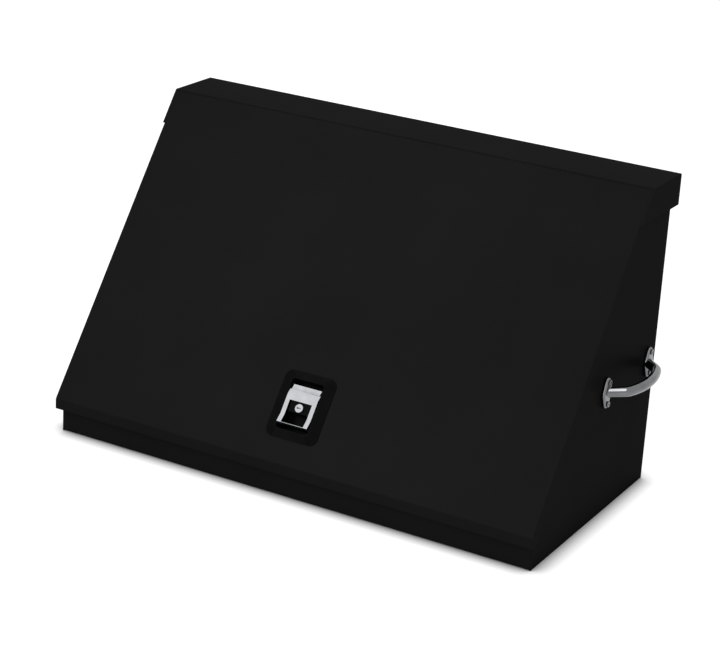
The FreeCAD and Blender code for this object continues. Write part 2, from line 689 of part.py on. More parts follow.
def make_stand_rivets():
    """Blind rivets through the back wall into the stand's rear flange."""
    body = new_body("stand_rivets")
    level = "Size.second_tread - Size.stand_sheet - Size.stand_flange / 2"
    first = "-(Place.stand_half - Size.stand_rivet_edge)"
    head = sketch(body, "StandRivetHead", "XZ_Plane", [(first, level, "Size.rivet_head")],
                  offset="-(Place.back_y - Size.sheet - Size.stand_sheet)")
    feature = pad(body, head, "Size.rivet_head_height")
    repeat(body, feature, [("X_Axis", "2 * (Place.stand_half - Size.stand_rivet_edge)",
                            "Size.stand_rivets")])


def make_tray(name, front_y, base_z):
    """Open sheet pan with rounded corners."""
    body = new_body(name)
    half = "Place.tray_width / 2"
    outer = sketch(body, f"Outer{name}", "XY_Plane", [rectangle(
        f"-{half}", half, front_y, f"{front_y} + Place.tray_depth")], offset=base_z)
    pad(body, outer, "Size.tray_height")
    inner_half = f"{half} - Size.tray_wall"
    inner = sketch(body, f"Inner{name}", "XY_Plane", [rectangle(
        f"-({inner_half})", inner_half, f"{front_y} + Size.tray_wall",
        f"{front_y} + Place.tray_depth - Size.tray_wall")], offset=f"{base_z} + Size.tray_height")
    pocket(body, inner, "Size.tray_height - Size.tray_wall")
    round_edges(body, f"InnerCorners{name}", "Size.tray_corner - Size.tray_wall",
                upright(inner_half, f"{front_y} + Size.tray_wall",
                        f"{front_y} + Place.tray_depth - Size.tray_wall"))
    round_edges(body, f"Corners{name}", "Size.tray_corner",
                upright(half, front_y, f"{front_y} + Place.tray_depth"))


def make_foam(name, front_y, base_z):
    """Foam liner on a tray's floor."""
    body = new_body(name)
    half = "Place.tray_width / 2 - Size.tray_wall - Size.foam_clearance"
    low = f"{front_y} + Size.tray_wall + Size.foam_clearance"
    high = f"{front_y} + Place.tray_depth - Size.tray_wall - Size.foam_clearance"
    slab = sketch(body, f"Slab{name}", "XY_Plane", [rectangle(f"-({half})", half, low, high)],
                  offset=f"{base_z} + Size.tray_wall")
    pad(body, slab, "Size.foam_thick")
    round_edges(body, f"SlabCorners{name}", "Size.tray_corner - Size.tray_wall", upright(half, low, high))


# ---------------------------------------------------------------- hinge
def make_hinge_leaf(name, on_lid):
    """A continuous hinge's leaf: plate, tabs and knuckles; the lid's leaf stands up, the case's hangs."""
    body = new_body(name)
    outward = 1 if on_lid else -1
    plate_face = "Size.skirt_gap / 2"
    plate_near = f"Place.hinge_y + {outward} * ({plate_face} - Size.leaf_thick)"
    plate_far = f"Place.hinge_y + {outward} * {plate_face}"
    gap = "(Place.knuckle_radius + Size.leaf_relief)"
    plate_start = f"Place.hinge_z + {outward} * {gap}"
    plate_end = f"Place.hinge_z + {outward} * Size.leaf_height"
    plate = sketch(body, f"Plate{name}", "YZ_Plane", [rectangle(
        plate_near, plate_far, plate_start, plate_end)])
    pad(body, plate, "2 * Place.hinge_half", symmetric=True)
    first = "-Place.hinge_half" + (" + Size.knuckle_length" if on_lid else "")
    count = "Size.case_knuckles" + (" - 1" if on_lid else "")
    start = f"{first} + Size.knuckle_play / 2"
    long = "Size.knuckle_length - Size.knuckle_play"
    span = f"2 * Size.knuckle_length * ({count} - 1)"
    tab = sketch(body, f"Tab{name}", "YZ_Plane", [rectangle(
        plate_near, plate_far, "Place.hinge_z", plate_start)], offset=start)
    tab_feature = pad(body, tab, long)
    barrel = sketch(body, f"Barrel{name}", "YZ_Plane",
                    [("Place.hinge_y", "Place.hinge_z", "Size.knuckle_diameter")], offset=start)
    barrel_feature = pad(body, barrel, long)
    row_pattern(body, [tab_feature, barrel_feature], "X_Axis", span, count)
    play = " + 2 * Size.hinge_fit" if on_lid else ""
    bore = sketch(body, f"Bore{name}", "YZ_Plane",
                  [("Place.hinge_y", "Place.hinge_z", f"Size.hinge_pin_diameter{play}")])
    pocket(body, bore, f"2 * (Place.hinge_half + {PAST})", symmetric=True)


def make_hinge_pin():
    pin = document.addObject("Part::Cylinder", "hinge_pin")
    pin.Label = "hinge_pin"
    pin.Placement.Rotation = FreeCAD.Rotation(FreeCAD.Vector(0, 1, 0), 90)
    bind(pin, Radius="Size.hinge_pin_diameter / 2", Height="2 * (Place.hinge_half + Size.pin_overhang)",
         Placement__Base__x="-(Place.hinge_half + Size.pin_overhang)", Placement__Base__y="Place.hinge_y",
         Placement__Base__z="Place.hinge_z")
    PARTS.append(pin)


def make_hinge_rivets():
    """Domed rivets in the case's leaf and flush ones in the lid's."""
    row = [("X_Axis", "2 * (Place.hinge_half - Size.rivet_edge)", "Size.hinge_rivets")]
    first = "-(Place.hinge_half - Size.rivet_edge)"
    middle = "(Place.knuckle_radius + Size.leaf_relief + Size.leaf_height) / 2"
    body = new_body("hinge_rivets_case")
    head = sketch(body, "CaseRivetHead", "XZ_Plane",
                  [(first, f"Place.hinge_z - {middle}", "Size.rivet_head")],
                  offset="-(Place.back_y + Size.leaf_thick + Size.rivet_head_height)")
    feature = pad(body, head, "Size.rivet_head_height")
    repeat(body, feature, row)
    body = new_body("hinge_rivets_lid")
    tail = sketch(body, "LidRivetTail", "XZ_Plane",
                  [(first, f"Place.hinge_z + {middle}", "Size.flush_head")],
                  offset="-(Place.rear_y - Size.sheet - Size.leaf_thick)")
    feature = pad(body, tail, "Size.rivet_head_height")
    repeat(body, feature, row)


# ---------------------------------------------------------------- lid
def make_lid_panel():
    """Slanted panel with its front lip, side flanges and the fold under the top strip."""
    body = new_body("lid_panel")
    crown_z = "Size.box_height - Size.sheet"
    crown = slant_y(crown_z)
    fold_end = "Place.crease_y + Size.fold_length"
    lip_inner = "Place.front_y + Size.sheet"
    lip_crease = "Size.lip_top - Size.sheet * Place.lip_miter"
    crown_inner = f"{crown} + Size.sheet * Place.crown_miter"
    profile = sketch(body, "PanelProfile", "YZ_Plane", [[
        ("Place.front_y", "Size.lip_bottom"), ("Place.front_y", "Size.lip_top"),
        (crown, crown_z), (fold_end, crown_z), (fold_end, f"{crown_z} - Size.sheet"),
        (crown_inner, f"{crown_z} - Size.sheet"), (lip_inner, lip_crease),
        (lip_inner, "Size.lip_bottom")]])
    pad(body, profile, "2 * Place.lid_half", symmetric=True)
    round_edges(body, "PanelOuterBends", "Size.bend",
                along_x(("Place.front_y", "Size.lip_top"), (crown, crown_z)))
    round_edges(body, "PanelInnerBends", "Size.bend - Size.sheet",
                along_x((lip_inner, lip_crease), (crown_inner, f"{crown_z} - Size.sheet")))
    flange = sketch(body, "SideFlange", "YZ_Plane", [[
        (lip_inner, "Size.lip_bottom"), (lip_inner, lip_crease),
        (crown_inner, f"{crown_z} - Size.sheet"),
        (slant_y(f"{crown_z} - Size.sheet", "Size.flange_depth"), f"{crown_z} - Size.sheet"),
        (slant_y("Size.lip_bottom", "Size.flange_depth"), "Size.lip_bottom")]],
        offset="Place.lid_half - Size.sheet")
    mirror(body, [pad(body, flange, "Size.sheet")])
    notch = sketch(body, "SealNotch", "YZ_Plane", [rectangle(
        crown_inner, f"{fold_end} + {PAST}", f"{crown_z} - Size.sheet - {PAST}", f"{crown_z} + {PAST}")],
        offset="Place.rim_half - Size.seal_inset")
    mirror(body, [pocket(body, notch, "Size.rim_flange + Size.seal_inset + Size.flange_gap", back=True)])
    cutout = sketch(body, "LatchCutout", "XY_Plane", [rectangle(
        "-Place.cutout_half", "Place.cutout_half", "Place.cutout_low", "Place.cutout_high")],
        on_slope=True)
    pocket(body, cutout, "4 * Size.sheet", symmetric=True)
    studs = sketch(body, "StudHoles", "XY_Plane", stud_circles(STUD_HOLE), on_slope=True)
    pocket(body, studs, "4 * Size.sheet", symmetric=True)


def stud_circles(diameter):
    """The four bezel studs as sketch circles in the panel frame."""
    return [(f"{side} * Size.stud_spread", f"Place.mouth_mid + {end} * Size.stud_rise", diameter)
            for side in (-1, 1) for end in (-1, 1)]


def make_lid_cap():
    """Folded cap: top strip and rear skirt, with a hemmed ear at each end."""
    body = new_body("lid_cap")
    under = "Size.box_height - Size.sheet"
    profile = sketch(body, "CapProfile", "YZ_Plane", [[
        (slant_y(under), under), ("Place.crease_y", "Size.box_height"),
        ("Place.rear_y", "Size.box_height"), ("Place.rear_y", "Place.skirt_z"),
        ("Place.rear_y - Size.sheet", "Place.skirt_z"), ("Place.rear_y - Size.sheet", under)]])
    pad(body, profile, "Size.box_width", symmetric=True)
    ear = sketch(body, "Ear", "YZ_Plane", [[
        ("Place.crease_y", "Size.box_height"), (slant_y("Place.skirt_z"), "Place.skirt_z"),
        ("Place.rear_y", "Place.skirt_z"), ("Place.rear_y", "Size.box_height")]],
        offset="Place.lid_half")
    mirror(body, [pad(body, ear, "Size.ear_thick")])
    round_edges(body, "CapBend", "Size.bend", along_x(("Place.rear_y", "Size.box_height")))
    round_edges(body, "CapInnerBend", "Size.bend - Size.sheet",
                along_x(("Place.rear_y - Size.sheet", under)))


def make_stiffener(name, side):
    """Hat channel welded behind the slanted panel, along the slope."""
    body = new_body(name)
    thick = "Size.stiffener_sheet"
    half = "Size.stiffener_width / 2"
    brim = f"({half} + Size.stiffener_flange)"
    top = "-Size.sheet"
    low = f"{top} - Size.stiffener_depth"
    middle = f"{side} * Size.stiffener_offset"
    corners = [(brim, top), (brim, f"{top} - {thick}"), (half, f"{top} - {thick}"), (half, low),
               (f"-{half}", low), (f"-{half}", f"{top} - {thick}"), (f"-{brim}", f"{top} - {thick}"),
               (f"-{brim}", top), (f"-({half} - {thick})", top),
               (f"-({half} - {thick})", f"{low} + {thick}"), (f"{half} - {thick}", f"{low} + {thick}"),
               (f"{half} - {thick}", top)]
    hat = sketch(body, f"Hat{name}", "XZ_Plane", [[(f"{middle} + {u}", w) for u, w in corners]],
                 offset="-Size.stiffener_end")
    pad(body, hat, "Size.stiffener_end - Size.stiffener_start")
    on_panel(body)


# ---------------------------------------------------------------- gas struts
def make_strut(name, side):
    """Cylinder, gland and socket on the case's ball; rod with piston and socket on the lid's ball."""
    x = f"{side} * Place.strut_x"
    bore = "Size.cylinder_diameter / 2 - Size.cylinder_wall"
    outer = "Size.cylinder_diameter / 2"
    base = "Size.socket_length"
    mouth = f"{base} + Size.cylinder_length"
    case_ball = dict(x=x, y="Place.case_stud_y", z="Place.case_stud_z", angle="Place.strut_lean")
    lid_ball = dict(x=x, y="Place.lid_stud_y", z="Place.lid_stud_z", angle="Place.strut_lean + 180")

    body = new_body(f"strut_cylinder_{name}")
    tube = sketch(body, f"Tube{name}", "XZ_Plane", [[
        ("0", base), (outer, base), (outer, mouth), (bore, mouth),
        (bore, f"{base} + Size.cylinder_base"), ("0", f"{base} + Size.cylinder_base")]])
    turn(body, tube, "Z_Axis")
    place(body, **case_ball)

    body = new_body(f"strut_gland_{name}")
    ring = sketch(body, f"Gland{name}", "XZ_Plane", [rectangle(
        "Size.rod_diameter / 2 + Size.rod_fit", bore, f"{mouth} - Size.gland_length", mouth)])
    turn(body, ring, "Z_Axis")
    place(body, **case_ball)

    make_socket(f"cylinder_socket_{name}", side, case_ball)

    body = new_body(f"strut_rod_{name}")
    end = f"{base} + Size.rod_length"
    rod = "Size.rod_diameter / 2"
    piston = f"{bore} - Size.rod_fit"
    profile = sketch(body, f"Rod{name}", "XZ_Plane", [[
        ("0", base), (rod, base), (rod, f"{end} - Size.piston_length"),
        (piston, f"{end} - Size.piston_length"), (piston, end), ("0", end)]])
    turn(body, profile, "Z_Axis")
    place(body, **lid_ball)

    make_socket(f"rod_socket_{name}", side, lid_ball)


def make_socket(name, side, where):
    """Ball socket: a round eye with a stem, open towards the stud's neck."""
    half = "Size.socket_half"
    eye = cylinder_part(f"eye_{name}", "Size.socket_diameter / 2", f"2 * {half}",
                        f"-{half}", "0", "0", X_AXIS)
    stem = document.addObject("Part::Box", f"stem_{name}")
    bind(stem, Length=f"2 * {half}", Width="Size.socket_stem", Height="Size.socket_length")
    place(stem, x=f"-{half}", y="-Size.socket_stem / 2")
    cavity = sphere_part(f"cavity_{name}", "Size.ball_diameter / 2 + Size.ball_fit", "0", "0", "0")
    neck = cylinder_part(f"neck_{name}", "Size.stud_neck / 2 + Size.neck_room", f"{half} + {PAST}",
                         "0", "0", "0", FreeCAD.Vector(side, 0, 0))
    blank = fuse(f"blank_{name}", [eye, stem])
    hollow = fuse(f"hollow_{name}", [cavity, neck])
    socket = document.addObject("Part::Cut", name)
    socket.Base = blank
    socket.Tool = hollow
    place(socket, **where)
    PARTS.append(socket)


def fuse(name, pieces):
    joined = document.addObject("Part::MultiFuse", name)
    joined.Shapes = pieces
    joined.Refine = True
    return joined


def cylinder_part(name, radius, height, x, y, z, axis):
    piece = document.addObject("Part::Cylinder", name)
    piece.Placement.Rotation = FreeCAD.Rotation(Z_AXIS, axis)
    bind(piece, Radius=radius, Height=height, Placement__Base__x=x, Placement__Base__y=y,
         Placement__Base__z=z)
    return piece


def sphere_part(name, radius, x, y, z):
    """A sphere whose seam is turned away from the X axis, where necks leave it."""
    ball = document.addObject("Part::Sphere", name)
    ball.Placement.Rotation = FreeCAD.Rotation(Z_AXIS, 90)
    bind(ball, Radius=radius)
    place(ball, x=x, y=y, z=z)
    return ball


def make_ball_studs(name, y, z):
    """Both studs of a pair: ball, neck through the bracket and nut behind it."""
    studs = []
    for side_name, side in SIDES:
        out = FreeCAD.Vector(side, 0, 0)
        centre = f"{side} * Place.strut_x"
        ball = sphere_part(f"ball_{side_name}_{name}", "Size.ball_diameter / 2", centre, y, z)
        neck = cylinder_part(f"stud_{side_name}_{name}", "Size.stud_neck / 2",
                             "Place.bracket_x - Place.strut_x + Size.stud_nut_height", centre, y, z, out)
        nut = cylinder_part(f"nut_{side_name}_{name}", "Size.stud_nut_radius", "Size.stud_nut_height",
                            f"{side} * Place.bracket_x", y, z, out)
        studs.append(fuse(f"{side_name}_{name}", [ball, neck, nut]))
    pair = document.addObject("Part::Compound", name)
    pair.Links = studs
    PARTS.append(pair)


def make_case_bracket(name, side):
    """Z bracket on the side panel that holds a ball stud's nut clear of the rim flange."""
    body = new_body(name)
    wall = "Place.inner_half"
    face = "Place.bracket_x"
    thick = "Size.bracket_sheet"
    y = "Place.case_stud_y"
    half = "Size.bracket_width / 2"
    corners = [(f"{face} - {thick}", f"{y} - {half}"), (face, f"{y} - {half}"),
               (face, f"{y} + {half} - {thick}"), (wall, f"{y} + {half} - {thick}"),
               (wall, f"{y} + {half}"), (f"{face} - {thick}", f"{y} + {half}")]
    profile = sketch(body, f"Arm{name}", "XY_Plane",
                     [[(f"{side} * ({u})", v) for u, v in corners]],
                     offset="Place.case_stud_z - Size.bracket_width / 2")
    pad(body, profile, "Size.bracket_width")
    base = sketch(body, f"Base{name}", "XY_Plane", [rectangle(
        f"{side} * ({wall} - {thick})", f"{side} * {wall}",
        f"{y} + {half} - Size.bracket_base - {thick}", f"{y} + {half}")],
        offset="Place.case_stud_z - Size.bracket_width / 2")
    pad(body, base, "Size.bracket_width")
    hole = sketch(body, f"Hole{name}", "YZ_Plane", [(y, "Place.case_stud_z", "Size.stud_neck")],
                  offset=f"{side} * (Place.bracket_x - Size.bracket_sheet / 2)")
    pocket(body, hole, "2 * Size.bracket_sheet", symmetric=True)


def make_lid_bracket(name, side):
    """L bracket behind the slanted panel for the strut's upper ball stud."""
    body = new_body(name)
    face = "Place.bracket_x"
    thick = "Size.bracket_sheet"
    across = stud_on_panel()
    half = "Size.bracket_width / 2"
    top = "-Size.sheet"
    arm = sketch(body, f"Arm{name}", "YZ_Plane", [rectangle(
        f"{across[0]} - {half}", f"{across[0]} + {half}", f"{across[1]} - Size.bracket_below", top)],
        offset=f"{side} * ({face} - {thick} / 2)")
    pad(body, arm, thick, symmetric=True)
    base = sketch(body, f"Base{name}", "XY_Plane", [rectangle(
        f"{side} * ({face} - Size.bracket_base)", f"{side} * {face}",
        f"{across[0]} - {half}", f"{across[0]} + {half}")], offset=top)
    pad(body, base, thick, back=True)
    hole = sketch(body, f"Hole{name}", "YZ_Plane", [(*across, "Size.stud_neck")],
                  offset=f"{side} * ({face} - {thick} / 2)")
    pocket(body, hole, "2 * Size.bracket_sheet", symmetric=True)
    on_panel(body)


def stud_on_panel():
    """The lid stud's place in the panel frame, as (v, w) expressions."""
    y = "(Place.lid_stud_y - Place.front_y)"
    z = "(Place.lid_stud_z - Size.lip_top)"
    return f"({y} * Place.run + {z} * Place.rise)", f"({z} * Place.run - {y} * Place.rise)"


# ---------------------------------------------------------------- latch
def make_latch_gasket():
    body = new_body("latch_gasket")
    sheet = sketch(body, "GasketSheet", "XY_Plane", [bezel_rectangle("Size.frame_margin")])
    pad(body, sheet, "Size.gasket_thick")
    round_edges(body, "GasketCorners", "Size.bezel_corner - Size.frame_margin",
                bezel_corners("Size.frame_margin"))
    opening = sketch(body, "GasketOpening", "XY_Plane", [rectangle(
        "-Place.cutout_half", "Place.cutout_half", "Place.cutout_low", "Place.cutout_high")])
    pocket(body, opening, "4 * Size.gasket_thick", symmetric=True)
    studs = sketch(body, "GasketStudHoles", "XY_Plane", stud_circles(STUD_HOLE))
    pocket(body, studs, "4 * Size.gasket_thick", symmetric=True)
    on_panel(body)


def bezel_rectangle(inset):
    half = f"Size.bezel_width / 2 - {inset}"
    return rectangle(f"-({half})", half, f"Size.latch_low + {inset}",
                     f"Size.latch_low + Size.bezel_length - {inset}")


def bezel_corners(inset):
    return upright(f"Size.bezel_width / 2 - {inset}", f"Size.latch_low + {inset}",
                   f"Size.latch_low + Size.bezel_length - {inset}")


def make_latch_dish():
    """Raised black bezel, the finger pocket behind it and four studs, cast in one piece."""
    body = new_body("latch_dish")
    base = sketch(body, "BezelBase", "XY_Plane", [bezel_rectangle("0")], offset="Size.gasket_thick")
    pad(body, base, "Size.bezel_edge - Size.gasket_thick")
    round_edges(body, "BezelCorners", "Size.bezel_corner", bezel_corners("0"))
    shoulder = "Size.bezel_shoulder"
    step = "Size.bezel_step"
    foot = sketch(body, "RampFoot", "XY_Plane", [], offset="Size.bezel_edge")
    draw_rounded(foot, f"Size.bezel_width / 2 - {step}", f"Size.latch_low + {step}",
                 f"Size.latch_low + Size.bezel_length - {step}", f"Size.bezel_corner - {step}")
    crest = sketch(body, "RampCrest", "XY_Plane", [], offset="Size.bezel_rise")
    draw_rounded(crest, f"Size.mouth_width / 2 + {shoulder}", f"Place.mouth_low - {shoulder}",
                 f"Place.mouth_high + {shoulder}", f"Size.mouth_corner + {shoulder}")
    ramp = body.newObject("PartDesign::AdditiveLoft", "Ramp")
    ramp.Profile = foot
    ramp.Sections = [crest]
    ramp.Ruled = True
    document.recompute()
    skin = "Size.mouth_width / 2 + Size.tub_wall"
    box = sketch(body, "TubBlock", "XY_Plane", [rectangle(
        f"-({skin})", skin, "Place.mouth_low - Size.tub_wall", "Place.mouth_high + Size.tub_wall")],
        offset="-Size.tub_depth - Size.tub_wall")
    pad(body, box, "Size.tub_depth + Size.tub_wall + Size.bezel_edge")
    mouth = sketch(body, "Mouth", "XY_Plane", [rectangle(
        "-Size.mouth_width / 2", "Size.mouth_width / 2", "Place.mouth_low", "Place.mouth_high")],
        offset=f"Size.bezel_rise + {PAST}")
    pocket(body, mouth, f"Size.bezel_rise + {PAST} + Size.tub_depth")
    round_edges(body, "MouthCorners", "Size.mouth_corner",
                upright("Size.mouth_width / 2", "Place.mouth_low", "Place.mouth_high"))
    slot = "Size.cam_thick / 2 + Size.cam_room"
    middle = "(Size.cam_inner + Size.cam_thick / 2)"
    slots = sketch(body, "CamSlots", "XY_Plane", [rectangle(
        f"{side} * {middle} - ({slot})", f"{side} * {middle} + ({slot})",
        "Size.bolt_pin_v - Size.cam_slot_low", "Size.pivot_v + Size.cam_slot_high")
        for side in (-1, 1)], offset="-Size.tub_depth - Size.tub_wall / 2")
    pocket(body, slots, "4 * Size.tub_wall", symmetric=True)
    neck = sketch(body, "LockHole", "XY_Plane", [("0", "Size.lock_v", "Size.lock_neck")],
                  offset="-Size.tub_depth - Size.tub_wall / 2")
    pocket(body, neck, "4 * Size.tub_wall", symmetric=True)
    pin = sketch(body, "PivotHole", "YZ_Plane", [("Size.pivot_v", "-Size.pivot_w", "Size.pivot_diameter")])
    pocket(body, pin, "Size.mouth_width + 4 * Size.tub_wall", symmetric=True)
    studs = sketch(body, "Studs", "XY_Plane", stud_circles("Size.bezel_stud_diameter"),
                   offset="Size.bezel_edge")
    pad(body, studs, "Size.bezel_stud_length", back=True)
    on_panel(body)


def make_latch_frame():
    """Backing frame under the panel: pivot cheeks and the two walls that guide the bolt."""
    body = new_body("latch_frame")
    top = "-Size.sheet"
    plate = sketch(body, "FramePlate", "XY_Plane", [bezel_rectangle("Size.frame_margin"), rectangle(
        "-Place.cutout_half", "Place.cutout_half", "Place.cutout_low", "Place.cutout_high")], offset=top)
    pad(body, plate, "Size.frame_thick", back=True)
    round_edges(body, "FrameCorners", "Size.bezel_corner - Size.frame_margin",
                bezel_corners("Size.frame_margin"))
    floor = "-Size.wall_drop"
    for name, low in (("Front", "Place.front_wall_v"), ("Rear", "Place.rear_wall_v")):
        wall = sketch(body, f"Wall{name}", "YZ_Plane", [rectangle(
            low, f"{low} + Size.frame_wall", floor, top)])
        pad(body, wall, "2 * Size.wall_half", symmetric=True)
    cheek = sketch(body, "Cheek", "YZ_Plane", [rectangle(
        "Size.pivot_v - Size.cheek_length / 2", "Size.pivot_v + Size.cheek_length / 2",
        "-Size.cheek_drop", top)], offset="Size.cheek_half - Size.frame_wall")
    mirror(body, [pad(body, cheek, "Size.frame_wall")])
    half = "(Size.bolt_width / 2 + Size.bolt_fit)"
    guide = sketch(body, "Guide", "XZ_Plane", [rectangle(
        f"-{half}", half, "-(Size.bolt_top + Size.bolt_thick + Size.bolt_fit)",
        "-(Size.bolt_top - Size.bolt_fit)")], offset="-Place.bezel_mid")
    pocket(body, guide, "2 * Size.bezel_length", symmetric=True)
    pin = sketch(body, "FramePivotHole", "YZ_Plane",
                 [("Size.pivot_v", "-Size.pivot_w", "Size.pivot_diameter")])
    pocket(body, pin, "4 * Size.cheek_half", symmetric=True)
    studs = sketch(body, "FrameStudHoles", "XY_Plane", stud_circles(STUD_HOLE),
                   offset=top)
    pocket(body, studs, "4 * Size.frame_thick", symmetric=True)
    on_panel(body)


def hexagon(u, v, across_flats):
    """Corners of a hexagon centred on (u, v)."""
    corners = []
    for step in range(6):
        angle = 60 * step
        corners.append((f"{u} + {across_flats} / sqrt(3) * cos({angle} deg)",
                        f"{v} + {across_flats} / sqrt(3) * sin({angle} deg)"))
    return corners


def make_latch_nuts():
    body = new_body("latch_nuts")
    u, v, _ = stud_circles("")[0]
    nut = sketch(body, "StudNut", "XY_Plane",
                 [hexagon(u, v, "Size.nut_width"), (u, v, "Size.bezel_stud_diameter")],
                 offset="-(Size.sheet + Size.frame_thick)")
    feature = pad(body, nut, "Size.nut_height", back=True)
    repeat(body, feature, [("X_Axis", "2 * Size.stud_spread", "2"), ("Y_Axis", "2 * Size.stud_rise", "2")])
    on_panel(body)


def make_pivot_pin():
    body = new_body("latch_pivot_pin")
    rod = sketch(body, "PivotRod", "YZ_Plane", [("Size.pivot_v", "-Size.pivot_w", "Size.pivot_diameter")])
    pad(body, rod, "2 * (Size.cheek_half + Size.pivot_proud)", symmetric=True)
    on_panel(body)


def cam_track(fraction):
    """The bolt pin's place in the paddle's own frame at a fraction of the pull, as (v, w) numbers."""
    angle = math.radians(number("Size.paddle_angle") * fraction)
    v = number("Size.bolt_pin_v - Size.pivot_v") + number("Size.bolt_travel") * fraction
    w = number("Size.pivot_w - Size.bolt_pin_w")
    return (number("Size.pivot_v") + v * math.cos(angle) - w * math.sin(angle),
            -number("Size.pivot_w") + w * math.cos(angle) + v * math.sin(angle))


def make_paddle():
    """Chrome paddle: faceted face with a window, curled lower bar and two slotted cam plates."""
    body = new_body("paddle_blank", keep=False)
    thick = "Size.paddle_thick"
    front = [("Size.paddle_top_v", "Size.paddle_top_w"), ("Size.ridge_v", "Size.ridge_w"),
             ("Size.shoulder_v", "Size.face_w"), ("Size.flare_v", "Size.face_w"),
             ("Size.brow_v", "Size.brow_w"), ("Size.curl_v", "Size.curl_w")]
    back = [(f"Size.curl_v + {thick}", "Size.curl_w"),
            (f"Size.brow_v + {thick} / 2", f"Size.brow_w - {thick}"),
            ("Size.flare_v", f"Size.face_w - {thick}"),
            ("Size.shoulder_v", f"Size.face_w - {thick}"),
            ("Size.ridge_v", f"Size.ridge_w - {thick}"),
            ("Size.paddle_top_v", f"Size.paddle_top_w - {thick}")]
    profile = sketch(body, "PaddleProfile", "YZ_Plane", [front + back])
    pad(body, profile, "Size.paddle_width", symmetric=True)
    margin = "Size.cam_margin"
    cam = sketch(body, "CamPlate", "YZ_Plane", [cam_outline(margin)], offset="Size.cam_inner")
    mirror(body, [pad(body, cam, "Size.cam_thick")])
    window = sketch(body, "PaddleWindow", "XY_Plane", [rectangle(
        "-Size.window_width / 2", "Size.window_width / 2", "Size.window_low", "Size.window_high")],
        offset=f"Size.brow_w + {PAST}")
    pocket(body, window, f"Size.brow_w + {PAST}")
    neck = sketch(body, "PaddleNeck", "XY_Plane", [rectangle(
        f"{side} * (Size.paddle_width / 2 + {PAST})", f"{side} * Size.paddle_neck / 2",
        "Size.ridge_v", f"Size.paddle_top_v + {PAST}") for side in (-1, 1)], offset="Size.brow_w")
    pocket(body, neck, "2 * Size.brow_w", symmetric=True)
    pin = sketch(body, "PaddleBore", "YZ_Plane",
                 [("Size.pivot_v", "-Size.pivot_w", "Size.pivot_diameter + 2 * Size.pivot_fit")])
    pocket(body, pin, "2 * Size.paddle_width", symmetric=True)
    slot = document.addObject("Part::Feature", "CamSlot")
    slot.Shape = cam_slot()
    cut = document.addObject("Part::Cut", "latch_paddle")
    cut.Base = body
    cut.Tool = slot
    PARTS.append(cut)
    on_panel(cut)


def cam_outline(margin):
    """Cam plate in (v, w): from under the paddle's face, round the pivot and along the slot."""
    start = cam_track(0)
    middle = cam_track(0.5)
    end = cam_track(1)
    room = number(f"Size.bolt_pin_diameter / 2 + Size.slot_fit + {margin}")
    corner = room * CORNER_SHARE
    face_v = start[0] - room
    pivot_v = number("Size.pivot_v")
    pivot_w = -number("Size.pivot_w")
    reach = number(f"Size.pivot_diameter / 2 + {margin}")
    level = reach * (1 - CORNER_SHARE)
    face = number("Size.face_w - Size.paddle_thick / 2")
    ridge = number("Size.ridge_w - Size.paddle_thick / 2")
    return [(face_v, face), (face_v, start[1] - room + corner), (start[0] - corner, start[1] - room),
            (middle[0] - room, middle[1] - corner), (end[0] - corner, end[1] - corner),
            (end[0] + corner, end[1] - corner), (end[0] + room, end[1]),
            (pivot_v + reach, pivot_w - level), (pivot_v + reach, pivot_w + level),
            (number("Size.ridge_v"), ridge), (number("Size.shoulder_v"), face)]


def cam_slot():
    """Slot that the bolt pin follows exactly: a swept disc through both cam plates."""
    radius = number("Size.bolt_pin_diameter / 2 + Size.slot_fit")
    reach = number("Size.cam_inner + Size.cam_thick") + PAST
    ends = [Part.makeCylinder(radius, 2 * reach, FreeCAD.Vector(-reach, *cam_track(fraction)), X_AXIS)
            for fraction in (0, 1)]
    step_count = 6
    track = [FreeCAD.Vector(-reach, *cam_track(step / step_count))
             for step in range(step_count + 1)]
    upper = []
    lower = []
    for index, point in enumerate(track):
        before = track[max(index - 1, 0)]
        after = track[min(index + 1, step_count)]
        along = (after - before).normalize()
        aside = along.cross(X_AXIS)
        upper.append(point + aside * radius)
        lower.append(point - aside * radius)
    half = step_count // 2
    edges = [Part.Arc(upper[0], upper[half], upper[-1]).toShape(), Part.makeLine(upper[-1], lower[-1]),
             Part.Arc(lower[-1], lower[half], lower[0]).toShape(), Part.makeLine(lower[0], upper[0])]
    strip = Part.Face(Part.Wire(edges)).extrude(X_AXIS * 2 * reach)
    return strip.fuse(ends).removeSplitter()


def make_paddle_spring():
    """Torsion spring coiled round the pivot pin inside the pocket."""
    pitch = number("Size.torsion_wire + Size.torsion_gap")
    length = pitch * number("Size.torsion_turns")
    coil = Part.makeHelix(pitch, length, number("Size.torsion_diameter") / 2)
    spring = document.addObject("Part::Feature", "paddle_spring")
    spring.Label = "paddle_spring"
    spring.Shape = wire_along(coil, "Size.torsion_wire", "Size.torsion_diameter")
    local = FreeCAD.Placement(FreeCAD.Vector(-length / 2, number("Size.pivot_v"), -number("Size.pivot_w")),
                              FreeCAD.Rotation(FreeCAD.Vector(0, 1, 0), 90))
    spring.Placement = panel_placement().multiply(local)
    PARTS.append(spring)


def wire_along(helix, wire, coil):
    """Round wire swept along a helix that starts on the +X side."""
    start = FreeCAD.Vector(number(coil) / 2, 0, 0)
    section = Part.Wire(Part.makeCircle(number(wire) / 2, start, FreeCAD.Vector(0, 1, 0)))
    return Part.Wire(helix.Edges).makePipeShell([section], True, True)


def panel_placement():
    return FreeCAD.Placement(FreeCAD.Vector(0, number("Place.front_y"), number("Size.lip_top")),
                             FreeCAD.Rotation(X_AXIS, number("Place.slope")))


